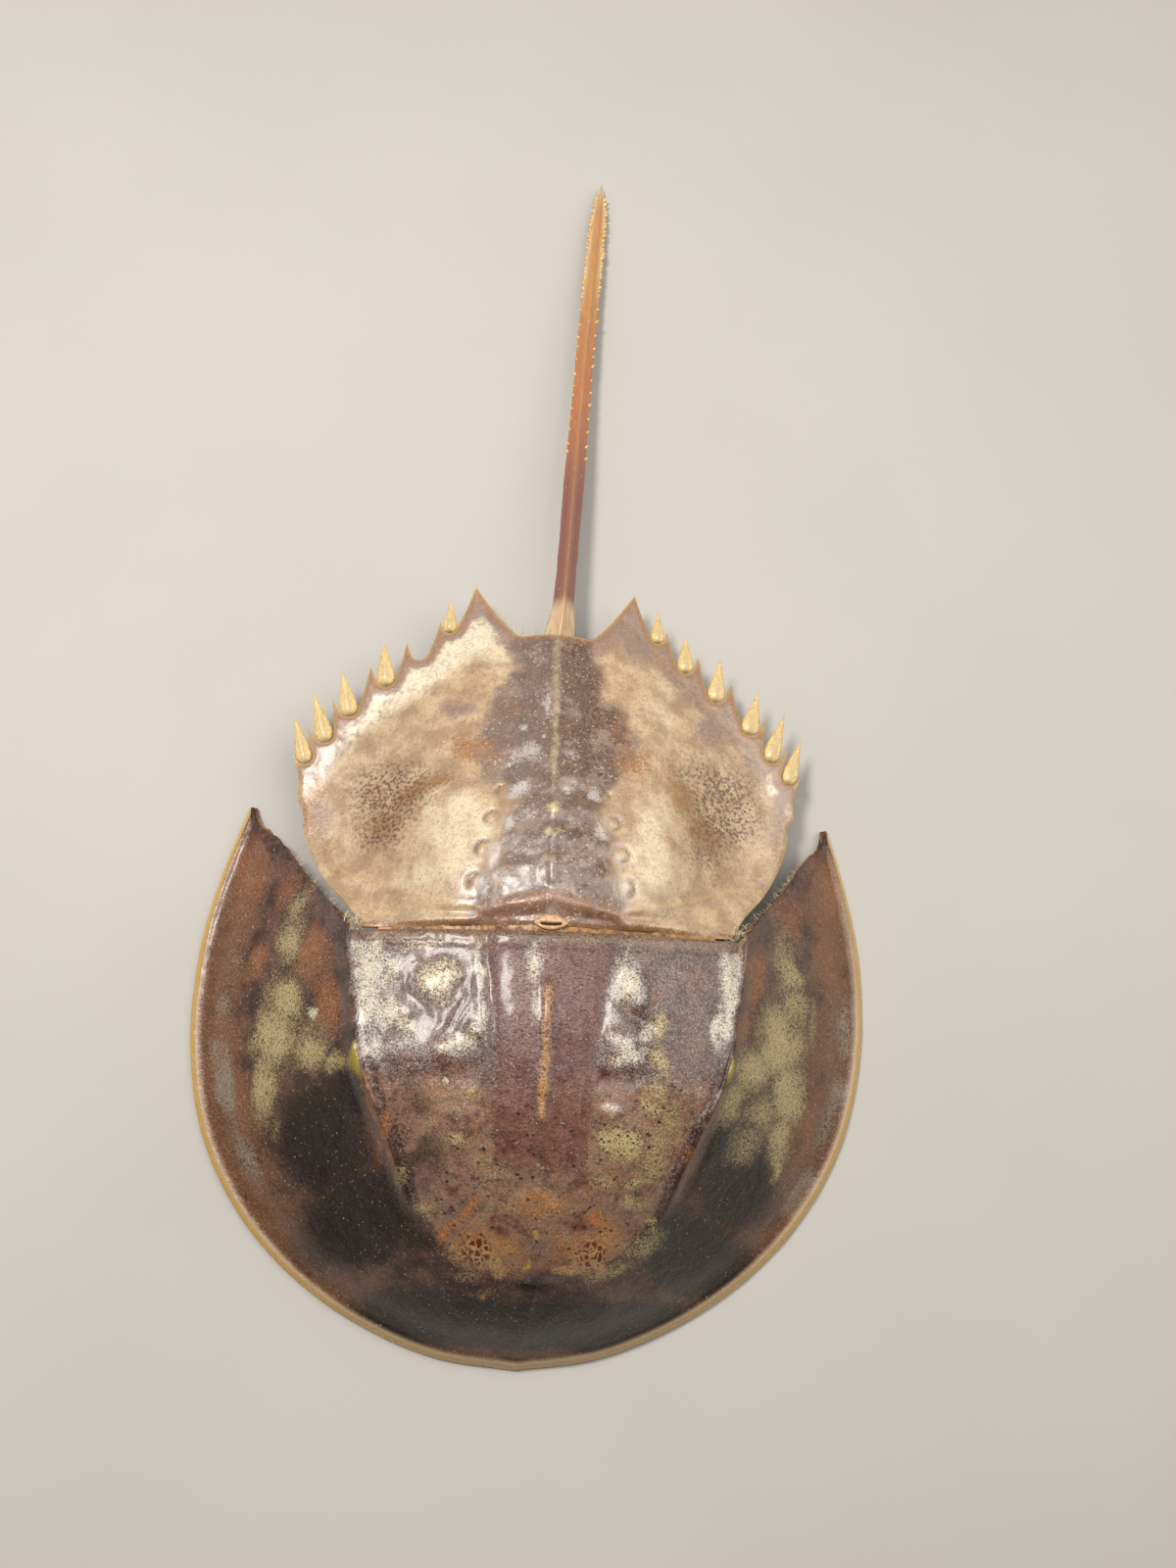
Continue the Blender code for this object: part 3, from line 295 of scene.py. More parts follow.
LOBE_BROWN_AREAS = (
    (-21.4, 29.4, 4.6, 2.6, 30, 0.95), (-25.8, 26.0, 4.8, 3.2, 40, 1.05), (-30.2, 20.4, 3.4, 6.0, -34, 0.95),
    (25.4, 27.4, 3.4, 4.8, 30, 0.95), (29.6, 21.0, 3.4, 6.0, 30, 1.0), (23.0, 33.0, 3.4, 3.4, 0, 0.7),
    (-33.0, 28.0, 5.0, 5.0, 0, 0.55), (34.6, 28.4, 6.0, 6.0, 0, 0.3), (-26.0, 35.6, 4.0, 2.0, 20, 0.45),
    (-33.6, 12.4, 4.0, 2.4, -30, 0.5), (32.6, 12.4, 4.0, 2.4, 30, 0.5))
# Whitish chips, and painted highlights on the middle and around the pits
FROST_AND_HIGHLIGHT_AREAS = (
    (-7.2, 26.0, 3.0, 1.6, 10, 1.1), (-5.4, 33.6, 3.6, 2.4, 0, 0.9), (3.6, 33.0, 2.6, 2.0, 0, 0.75),
    (-6.8, 39.4, 0.8, 0.7, 0, 1.25), (-2.2, 37.0, 0.6, 0.6, 0, 1.2), (3.2, 27.0, 1.4, 1.0, 0, 0.85),
    (8.0, 26.4, 1.4, 1.2, 0, 1.0), (-8.6, 19.5, 1.4, 2.0, 0, 1.0), (-10.3, 12.6, 1.4, 2.2, 0, 1.05),
    (-12.4, 8.0, 1.6, 2.2, 0, 1.05), (12.2, 13.4, 1.4, 2.0, 0, 1.0), (12.6, 8.0, 1.5, 2.2, 0, 1.05),
    (9.2, 18.0, 1.4, 2.0, 0, 1.0), (-1.6, 44.6, 1.0, 4.4, 0, 0.8), (-13.0, 3.4, 3.4, 0.9, 0, 0.9),
    (12.8, 3.4, 2.0, 1.2, 0, 0.8))
AXIS_STAIN = ((0.0, 13.0), (8.0, 11.6), (14.0, 10.2), (20.0, 9.0), (25.0, 8.8), (29.0, 11.6), (34.0, 14.0),
              (38.0, 14.6), (42.0, 13.4), (46.0, 11.6), (50.0, 9.8), (56.0, 7.2), (60.4, 6.7), (74.0, 6.5))
# Painted highlight: the cream-white band inside the teeth follows these lines
HIGHLIGHT_BAND_LINES = (
    ((-44.6, 31.0), (-43.6, 36.5), (-40.7, 42.3), (-36.6, 45.6), (-31.0, 49.4), (-23.2, 55.0), (-15.4, 61.9)),
    ((44.8, 33.4), (45.2, 37.3), (42.6, 41.0)))
DOT_AREAS = (
    (-30.6, 27.0, 8.4, 8.4, 0, 1.0), (-31.0, 20.4, 6.4, 6.6, 0, 0.9), (-22.0, 27.0, 7.0, 4.0, 20, 0.6),
    (33.6, 27.4, 9.0, 10.5, 0, 1.0), (28.0, 33.0, 7.4, 6.0, 0, 0.75), (30.0, 17.0, 8.0, 6.0, 0, 0.7),
    (-17.4, 58.0, 4.0, 5.0, 0, 0.4), (18.0, 16.0, 10.0, 12.0, 0, 0.35),
    (-16.0, 16.0, 10.0, 12.0, 0, 0.3))

# Movable spines, as in the part
SPINE_TIPS = ((50.9, 44.6), (47.6, 49.8), (42.2, 54.3), (34.3, 61.0), (27.0, 65.2), (21.2, 70.6))
SPINE_HALF_WIDTHS = (1.55, 1.7, 1.8, 1.75, 1.65, 1.4)
SPINE_THICKNESS = 1.9
MISSING_LEFT_SPINE = 4

# Tail spine, as in the part: place of its middle, half width and height
TAIL_STATIONS = ((0.4, 56.5, 10.8, 1.7, 3.0), (0.6, 60.0, 11.0, 3.2, 4.8), (1.0, 63.5, 10.9, 3.15, 4.6),
                 (1.65, 71.0, 10.4, 2.2, 4.2), (3.1, 98.5, 8.1, 2.2, 3.8), (4.35, 122.0, 6.1, 2.0, 3.5),
                 (6.3, 155.0, 3.4, 1.95, 2.9), (7.2, 168.0, 2.3, 1.65, 2.3), (7.5, 173.5, 1.7, 1.0, 1.6),
                 (7.7, 176.8, 1.1, 0.35, 0.7))
TAIL_SECTION = ((0.0, 0.62), (-0.34, 0.28), (-0.8, -0.1), (-1.0, -0.3), (-0.72, -0.46), (0.0, -0.5),
                (0.72, -0.46), (1.0, -0.3), (0.8, -0.1), (0.34, 0.28))
TAIL_START = 56.5
TAIL_BEND = 72.0
TAIL_END = 176.8
TAIL_TIPS = (56.3, 177.2)
TAIL_COLOUR_START = 56.0
TAIL_COLOUR_LENGTH = 121.2

# Thorns stand closer together behind the second of these places
THORN_START = 104.0
THORN_DENSE = 144.0
THORN_END = 174.0

# Bristles of the cheeks: side, first and last share of the edge, and how many. Then the other hairs
BRISTLE_ROWS = ((1.0, 0.25, 0.98, 120), (-1.0, 0.4, 0.98, 80))
CORNER_FIBRES = 80
REAR_FIBRES = 26
LINT_HAIRS = 170

# Fineness of the surfaces
TAIL_RINGS = (40, 210)
TAIL_AROUND = 41
MEMBRANE_GRID = (480, 25)
SPINE_BALL = (28, 30)
KNOB_BALL = (96, 48)
MERGE_DISTANCE = 0.004
SPINE_MERGE_DISTANCE = 0.002
CHEEK_COLUMNS = 74
FRONT_COLUMNS = 156
OUTER_ROWS = 92
INNER_ROWS = 74
SOCKET_POINTS = 17
TOOTH_POINTS = 10
ABDOMEN_STEP = 0.45
TOOTH_HOLLOW = 0.015
SOCKET_TURN = 1.35

# The photograph's camera, in the shell's own measure
CAMERA_PLACE = (-10.614, -31.583, 258.157)
CAMERA_RIGHT = (0.9965, 0.0249, 0.0792)
CAMERA_UP = (-0.0438, 0.9682, 0.2464)
CAMERA_AHEAD = (0.0705, 0.2490, -0.9659)
CAMERA_LENS = 30.0
SENSOR = 36.0

# Stage. Each lamp has its place and target, its width and power in metres and watts, and its tint
LAMPS = (("overhead", (-200.0, 135.0, 480.0), (0.0, -5.0, 20.0), 0.13, 2.8, "#fff7ee"),
         ("ceiling", (50.0, 190.0, 560.0), (0.0, 0.0, 20.0), 0.4, 1.1, "#fffaf4"),
         ("window", (-420.0, 160.0, 420.0), (-10.0, 0.0, 10.0), 0.6, 0.8, "#eef3ff"),
         ("fill", (380.0, 110.0, 430.0), (10.0, 0.0, 10.0), 0.6, 2.5, "#fffaf2"))
SKY_TINT = "#e8ecf2"
SKY_STRENGTH = 0.06
FLOOR_SIZE = 6.0


def linear(code):
    """Linear colour of an sRGB hex value."""
    channels = [int(code[i:i + 2], 16) / 255.0 for i in (1, 3, 5)]
    return [c / 12.92 if c <= 0.04045 else ((c + 0.055) / 1.055) ** 2.4 for c in channels]


# ---- shapes read from tables ----

def mix(first, second, share):
    """The value at this share of the way from first to second."""
    return first + (second - first) * share


def step(start, end, place):
    """Smooth step from 0 at start to 1 at end."""
    t = np.clip((place - start) / (end - start), 0.0, 1.0)
    return t * t * (3.0 - 2.0 * t)


def bump(distance, half_width):
    """Rounded hump of height 1 that fades out over about two half widths."""
    return np.exp(-(distance / half_width) ** 2)


def value_at(table, place):
    """Smooth values read from (place, value) pairs sorted by place."""
    places = np.array([pair[0] for pair in table], float)
    values = np.array([pair[1] for pair in table], float)
    last = len(places) - 1
    place = np.clip(place, places[0], places[last])
    i = np.clip(np.searchsorted(places, place, side="right") - 1, 0, last - 1)
    before = np.maximum(i - 1, 0)
    after = np.minimum(i + 2, last)
    span = places[i + 1] - places[i]
    t = (place - places[i]) / span
    start = (values[i + 1] - values[before]) / (places[i + 1] - places[before]) * span
    end = (values[after] - values[i]) / (places[after] - places[i]) * span
    cubic = 2.0 * t ** 3 - 3.0 * t ** 2
    return (values[i] * (cubic + 1.0) + start * (t ** 3 - 2.0 * t ** 2 + t)
            - values[i + 1] * cubic + end * (t ** 3 - t ** 2))


def along(points, shares):
    """Places at these shares of the length of a smooth curve through the points."""
    points = np.array(points, float)
    steps = np.hypot(*np.diff(points[:, :2], axis=0).T)
    stations = np.concatenate(([0.0], np.cumsum(steps)))
    columns = [value_at(tuple(zip(stations, points[:, k])), shares * stations[-1])
               for k in range(points.shape[1])]
    return np.stack(columns, axis=-1)


def smooth_line(points, count=28):
    """Many short steps along a smooth curve through the points."""
    return [tuple(place) for place in along(points, np.linspace(0.0, 1.0, count))]


def line_away(x, y, points):
    """Distance of every place from the line through these points."""
    nearest = np.full(np.shape(x), 1.0e6)
    for (x0, y0), (x1, y1) in zip(points, points[1:]):
        dx, dy = x1 - x0, y1 - y0
        t = np.clip(((x - x0) * dx + (y - y0) * dy) / max(dx * dx + dy * dy, 1.0e-9), 0.0, 1.0)
        nearest = np.minimum(nearest, np.hypot(x - x0 - t * dx, y - y0 - t * dy))
    return nearest


def turned(x, y, degrees):
    """The two offsets measured along axes turned by this angle."""
    cosine = math.cos(math.radians(degrees))
    sine = math.sin(math.radians(degrees))
    return x * cosine + y * sine, y * cosine - x * sine


def areas(x, y, patches, seed=50):
    """Strength of colour areas: oval patches with uneven outlines that fade at their edges."""
    x = x + 1.2 * grain(x, y, 5.0, seed) + 0.6 * grain(x, y, 1.9, seed + 1)
    y = y + 1.2 * grain(x, y, 5.0, seed + 2) + 0.6 * grain(x, y, 1.9, seed + 3)
    total = np.zeros(np.shape(x))
    for centre_x, centre_y, half_width, half_length, turn, strength in patches:
        across, ahead = turned(x - centre_x, y - centre_y, turn)
        u = across / half_width
        v = ahead / half_length
        total = np.maximum(total, strength * np.exp(-0.8 * (u * u + v * v)))
    return np.clip(total, 0.0, 1.25)


def grain(x, y, size, seed):
    """Smooth random field from -1 to 1 with features of about this size; each use has its own seed."""
    table = np.random.default_rng(SEED + seed).uniform(-1.0, 1.0, (256, 256))
    u = x / size + 512.0
    v = y / size + 512.0
    i = np.floor(u).astype(int)
    j = np.floor(v).astype(int)
    u = u - i
    v = v - j
    u = u * u * (3.0 - 2.0 * u)
    v = v * v * (3.0 - 2.0 * v)
    near = mix(table[i % 256, j % 256], table[(i + 1) % 256, j % 256], u)
    far = mix(table[i % 256, (j + 1) % 256], table[(i + 1) % 256, (j + 1) % 256], u)
    return mix(near, far, v)


# ---- meshes ----

def deselect_all():
    """Leave nothing selected, because an operator acts on all that is selected."""
    if bpy.context.object and bpy.context.object.mode != "OBJECT":
        bpy.ops.object.mode_set(mode="OBJECT")
    bpy.ops.object.select_all(action="DESELECT")


def select_only(piece):
    """Select this piece alone, and make it the active one."""
    deselect_all()
    piece.select_set(True)
    bpy.context.view_layer.objects.active = piece


def places_of(mesh):
    """Places of a mesh's vertices as they stand, one row for each."""
    flat = np.empty(len(mesh.vertices) * 3, np.float32)
    mesh.vertices.foreach_get("co", flat)
    return flat.reshape(-1, 3)


def set_points(mesh, points):
    """Put a mesh's vertices at points given in the shell's own millimetres."""
    mesh.vertices.foreach_set("co", ((points + SHIFT) * MM).astype(np.float32).ravel())
    mesh.update()


def lay_masks(mesh, masks):
    """Keep each mask on the mesh as an attribute, which a finish reads by its name."""
    for name, values in masks.items():
        layer = mesh.attributes.new(name, "FLOAT", "POINT")
        layer.data.foreach_set("value", values.astype(np.float32))


def drop_uv_maps(mesh):
    """Take a primitive's UV maps away, because no finish reads them."""
    for layer in list(mesh.uv_layers):
        mesh.uv_layers.remove(layer)


def close_up(merge=0.0):
    """Merge the active piece's doubles, turn its faces outwards and shade it smooth."""
    bpy.ops.object.mode_set(mode="EDIT")
    bpy.ops.mesh.select_all(action="SELECT")
    if merge:
        bpy.ops.mesh.remove_doubles(threshold=merge * MM)
    bpy.ops.mesh.normals_make_consistent(inside=False)
    bpy.ops.object.mode_set(mode="OBJECT")
    bpy.ops.object.shade_smooth()


def new_ball(name, segments, ring_count):
    """A sphere primitive to be drawn into shape, and the places of its vertices at radius 1."""
    deselect_all()
    bpy.ops.mesh.primitive_uv_sphere_add(segments=segments, ring_count=ring_count, radius=1.0)
    piece = bpy.context.object
    piece.name = name
    piece.data.name = name
    drop_uv_maps(piece.data)
    return piece, places_of(piece.data).astype(float)


def sheet(name, points, masks=None, merge=MERGE_DISTANCE):
    """A grid primitive whose vertices are laid on the points, with its doubles merged."""
    deselect_all()
    rows, columns = points.shape[:2]
    bpy.ops.mesh.primitive_grid_add(x_subdivisions=rows - 1, y_subdivisions=columns - 1, size=2.0)
    piece = bpy.context.object
    piece.name = name
    piece.data.name = name
    mesh = piece.data
    if len(mesh.vertices) != rows * columns:
        raise RuntimeError(f"{name}: the grid has {len(mesh.vertices)} vertices, not {rows * columns}")
    flat = places_of(mesh)
    i = np.rint((flat[:, 0] + 1.0) * 0.5 * (rows - 1)).astype(int)
    j = np.rint((flat[:, 1] + 1.0) * 0.5 * (columns - 1)).astype(int)
    set_points(mesh, points[i, j])
    lay_masks(mesh, {mask: values[i, j] for mask, values in (masks or {}).items()})
    drop_uv_maps(mesh)
    close_up(merge)
    return piece


def finish_piece(piece, slot, material, *nodes):
    """Give a piece its finish, let it ride on the shell, and let it stand for these CAD nodes."""
    piece.data.materials.clear()
    piece.data.materials.append(material)
    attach(piece, "root")
    if nodes:
        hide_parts(*nodes)


def normals_of(points):
    """Upward unit normals of a grid of points."""
    normal = np.cross(np.gradient(points, axis=0), np.gradient(points, axis=1))
    length = np.linalg.norm(normal, axis=-1, keepdims=True)
    normal = np.where(length > 1.0e-9, normal / np.maximum(length, 1.0e-9), (0.0, 0.0, 1.0))
    return np.where(normal[..., 2:] < 0.0, -normal, normal)


# ---- head shield ----

def shield_crown(x, y):
    """Height of the head shield between its two long ridges, without the small relief."""
    half = np.maximum(value_at(RIDGE_X, y), 0.5)
    share = np.minimum(np.abs(x) / half, 1.0)
    middle = value_at(MIDLINE_HEIGHT, y)
    side = value_at(RIDGE_HEIGHT, y)
    return side + (middle - side) * (1.0 - share ** 1.9)


def furrow_away(x, y):
    """Signed distance outwards from the long furrow on this side of the middle lobe."""
    sway = 0.25 * grain(x, y, 3.0, 8)
    return np.where(x > 0.0, x - value_at(FURROW_RIGHT, y), -x - value_at(FURROW_LEFT, y)) + sway


def crescent(x, y, place):
    """How far a place lies out of a bent oval: 0 at its middle and 1 at its edge."""
    centre_x, centre_y, turn, half_length, half_width, bend = place
    u, v = turned(x - centre_x, y - centre_y, turn)
    v = v / half_length
    return np.hypot((u - bend * v * v) / (half_width * np.maximum(1.0 - 0.7 * v * v, 0.15)), v)


def swirl_places(x, y):
    """Places drawn unevenly aside, so that lines laid on them wander, and their swirl distance."""
    bent_x = x + 0.9 * grain(x, y, 3.4, 9)
    bent_y = y + 0.9 * grain(x, y, 3.4, 10)
    return bent_x, bent_y, np.hypot(bent_x - SWIRL[0], (bent_y - SWIRL[1]) * 1.06)


def crown_relief(x, y, sizes):
    """Furrows, keel, swirl, knobs and lumps that stand on the smooth crown."""
    ahead = step(-48.0, -30.0, y)
    away = furrow_away(x, y)
    relief = -sizes.furrow_depth * ahead * (0.35 * bump(away, 2.8) + 0.25 * bump(away, 1.0))
    relief += 0.2 * ahead * bump(away - 1.9, 1.0) * step(-34.0, -24.0, y)
    relief += 1.1 * step(13.0, 30.0, np.abs(x)) * step(-50.0, -34.0, y)
    keel = line_away(x, y, KEEL_LINE)
    relief += sizes.keel_height * (0.55 * bump(keel, 0.8) + 0.4 * bump(keel, 1.8))
    for fork in KEEL_FORK:
        relief += 0.22 * bump(line_away(x, y, fork), 0.8)
    relief += 0.35 * bump(np.hypot(x - KEEL_KNOT[0], (y - KEEL_KNOT[1]) * 0.8), 0.8)
    swirl_x, swirl_y, swirl = swirl_places(x, y)
    relief += (0.3 * bump(swirl, 3.4) - 0.2 * bump(swirl - 5.4, 2.4)
               + 0.12 * grain(x, y, 2.6, 28) * bump(swirl - 5.0, 5.0))
    relief += 0.02 * np.cos(swirl * 5.0 + 2.4 * grain(x, y, 1.2, 27)) * bump(swirl - 4.4, 3.2)
    relief -= 0.14 * bump(line_away(swirl_x, swirl_y, SWIRL_GROOVE), 1.2)
    for line in KNOB_LINES:
        relief += 0.2 * bump(line_away(swirl_x, swirl_y, line), 1.0)
    for line in WRINKLE_LINES:
        relief += 0.12 * bump(line_away(swirl_x, swirl_y, line), 0.4)
    for place_x, place_y, radius, height in SHIELD_DOMES:
        relief += height * bump(np.hypot(x - place_x, y - place_y) / radius, 0.78)
    for first, second, third, depth, half_width in SHIELD_CUTS:
        relief -= depth * bump(line_away(swirl_x, swirl_y, (first, second, third)), half_width)
    whorl = np.hypot(x - WHORL[0], (y - WHORL[1]) * 1.15)
    relief += 0.12 * np.cos(whorl * 7.0 + 1.2 * grain(x, y, 1.4, 1)) * bump(whorl, 2.4)
    folds = np.hypot(x - FOLDS[0], (y - FOLDS[1]) * 0.9)
    relief += 0.08 * np.cos(y * 8.0 + 1.5 * grain(x, y, 1.5, 2)) * bump(folds, 2.2)
    for cell_x, cell_y in CELL_PLACES:
        relief -= 0.1 * bump(np.hypot(x - cell_x, y - cell_y), 2.2)
    strip = step(-2.9, -2.2, y)
    relief += (strip * (0.04 + 0.07 * grain(x, y, 0.9, 16)) - 0.2 * bump(y + 2.6, 0.35)
               - 0.35 * step(-0.75, -0.3, y))
    leather = step(-18.0, -30.0, y) * step(-60.0, -54.0, y)
    relief += leather * (0.12 * grain(x, y, 1.7, 17) + 0.09 * grain(x, y, 0.9, 18))
    return relief * step(35.4, 31.5, np.abs(x)) * step(-62.0, -54.0, y)


def side_relief(x, y):
    """The long ridge over each eye, the eye outside it, and broad dents of the side fields."""
    ridge_x = value_at(RIDGE_X, y)
    strength = step(-52.0, -36.0, y)
    outside = np.abs(x) - ridge_x
    relief = strength * (0.6 * bump(outside, 1.1) - 0.35 * bump(outside - 2.6, 1.3))
    relief += 0.7 * strength * bump(np.maximum(outside, 0.0), 2.0) * (outside > 0.0) * step(-50.0, -34.0, y)
    relief += 0.15 * strength * bump(outside + 2.4, 1.2)
    for place in EYES:
        reach = crescent(x, y, place)
        relief += EYE_HEIGHT * np.sqrt(np.clip(1.0 - reach * reach, 0.0, 1.0))
        relief -= 0.2 * bump(reach - 1.35, 0.4)
    return relief


def rim_sides(rim):
    """Rim points of the right half with the shell's own slight lean, and their mirror image."""
    middle = rim * 1.0
    inward = np.array((0.0, -20.0)) - middle
    middle += inward / np.linalg.norm(inward, axis=1, keepdims=True) * RIM_TRIM
    shift = RIM_SHIFT + RIM_SHIFT_PER_Y * middle[:, 1]
    right = np.stack((middle[:, 0] + shift, middle[:, 1]), axis=-1)
    left = np.stack((-middle[:, 0] + shift, middle[:, 1]), axis=-1)
    return right, left


def shield_columns():
    """Rim, knee, rear and form of every column, from the right cheek tip to the left one."""
    cheek = np.arange(CHEEK_COLUMNS + 1) / CHEEK_COLUMNS
    front = np.arange(1, FRONT_COLUMNS + 1) / FRONT_COLUMNS
    rim = np.concatenate((along(RIM_REAR, cheek), along(RIM_FRONT, front)))
    hinge_x = HINGE_HALF_WIDTH * (1.0 - front)
    hinge = np.stack((hinge_x, np.full_like(hinge_x, HINGE_Y), shield_crown(hinge_x, HINGE_Y)), axis=-1)
    rear = np.concatenate((along(CHEEK_EDGE, cheek), hinge))
    behind = np.concatenate((cheek, np.ones_like(front)))
    ahead = np.concatenate((np.zeros_like(cheek), front))
    ridge = np.concatenate((np.tile(EYE_RIDGE[0], (CHEEK_COLUMNS + 1, 1)), along(EYE_RIDGE, front)))
    crowned = np.concatenate((step(0.72, 1.0, cheek), np.ones_like(front)))
    hollow = np.where(ahead > 0.0, mix(-0.2, 0.22, step(0.35, 0.95, ahead)), mix(-0.05, -0.2, behind))
    lip = CHEEK_LIP * (1.0 - step(0.7, 1.0, behind))
    right_rim, left_rim = rim_sides(rim)
    mirror = np.array((-1.0, 1.0))
    sides = []
    for side_rim, turn in ((right_rim, np.ones(2)), (left_rim, mirror)):
        side_rear = rear * np.append(turn, 1.0)
        side_rear[:, :2] += (side_rim[0] - side_rear[0, :2]) * (1.0 - step(0.0, 0.3, behind))[:, None]
        side_ridge = ridge * turn
        # The left half runs back to its cheek tip and leaves out the front point, which both share
        order = slice(-2, None, -1) if turn[0] < 0.0 else slice(None)
        parts = (side_rim, side_ridge, side_rear, behind, crowned, hollow, lip)
        sides.append([part[order] for part in parts])
    return [np.concatenate(pair) for pair in zip(*sides)]


def shield_surface(sizes):
    """Top surface, its smooth form, each point's distance from the rim, and the columns' ends."""
    rim, ridge, rear, behind, crowned, hollow, lip = shield_columns()
    reach = mix(0.6, 0.89, behind)[:, None]
    flat_rear = rear[:, :2]
    rear_x, rear_y = flat_rear.T
    edge_noise = grain(rear_x, rear_y, 1.1, 3) + 0.6 * grain(rear_x, rear_y, 0.5, 4)
    cheekwards = (1.0 - step(0.86, 1.0, behind)) * step(0.02, 0.2, behind)
    outwards = (rim - flat_rear) / np.maximum(np.linalg.norm(rim - flat_rear, axis=1, keepdims=True), 1.0e-6)
    flat_rear = flat_rear + outwards * (0.28 * (edge_noise + 1.2) * cheekwards)[:, None]
    knee = mix(mix(rim, flat_rear, reach), ridge, crowned[:, None])
    length = np.linalg.norm(knee - rim, axis=1)[:, None]
    outer = (np.arange(OUTER_ROWS) / OUTER_ROWS) ** 1.4
    inner = np.arange(INNER_ROWS + 1) / INNER_ROWS
    crown = crowned[:, None]
    hollow = hollow[:, None]

    def risen(top, share):
        return RIM_EDGE + (top - RIM_EDGE) * ((1.0 + hollow) * share - hollow * share * share)

    rim_x, rim_y = rim[:, :1], rim[:, 1:]
    x1 = mix(rim_x, knee[:, :1], outer)
    y1 = mix(rim_y, knee[:, 1:], outer)
    knee_top = shield_crown(knee[:, 0], knee[:, 1])[:, None]
    z1 = mix(risen(rear[:, 2:], outer * reach), risen(knee_top, outer), crown)
    away = outer * length
    z1 = z1 - BRIM_DIP * bump(away - BRIM_DISTANCE, 2.5) * np.minimum(away, 1.0)
    x2 = mix(knee[:, :1], flat_rear[:, :1], inner)
    y2 = mix(knee[:, 1:], flat_rear[:, 1:], inner)
    z2 = mix(risen(rear[:, 2:], mix(reach, 1.0, inner)), shield_crown(x2, y2), crown)
    x = np.concatenate((x1, x2), axis=1)
    y = np.concatenate((y1, y2), axis=1)
    z = np.concatenate((z1, z2), axis=1)
    away = np.concatenate((away, np.full_like(x2, FAR_INSIDE)), axis=1)
    smooth = np.stack((x, y, z), axis=-1)
    inner_crown = np.repeat(crown, INNER_ROWS + 1, axis=1)
    on_crown = np.concatenate((step(0.93, 1.0, outer) * crown, inner_crown), axis=1)
    relief = crown_relief(x, y, sizes) * on_crown
    relief += side_relief(x, y) * step(4.0, 1.0, y) * step(0.0, 4.0, away)
    bead = sizes.rim_bead * (bump(away - 1.0, 0.8) - 0.4 * bump(away - 2.7, 0.9))
    relief += bead * step(0.0, 0.7, away) - 0.45 * np.exp(-away / 0.2)
    relief += (0.05 * grain(x, y, 2.6, 5) + 0.035 * grain(x, y, 1.1, 6)
               + 0.12 * grain(x, y, 7.0, 7) * step(2.0, 8.0, away))
    top = np.stack((x, y, z + relief), axis=-1)
    return top, smooth, away, rim, rear, lip


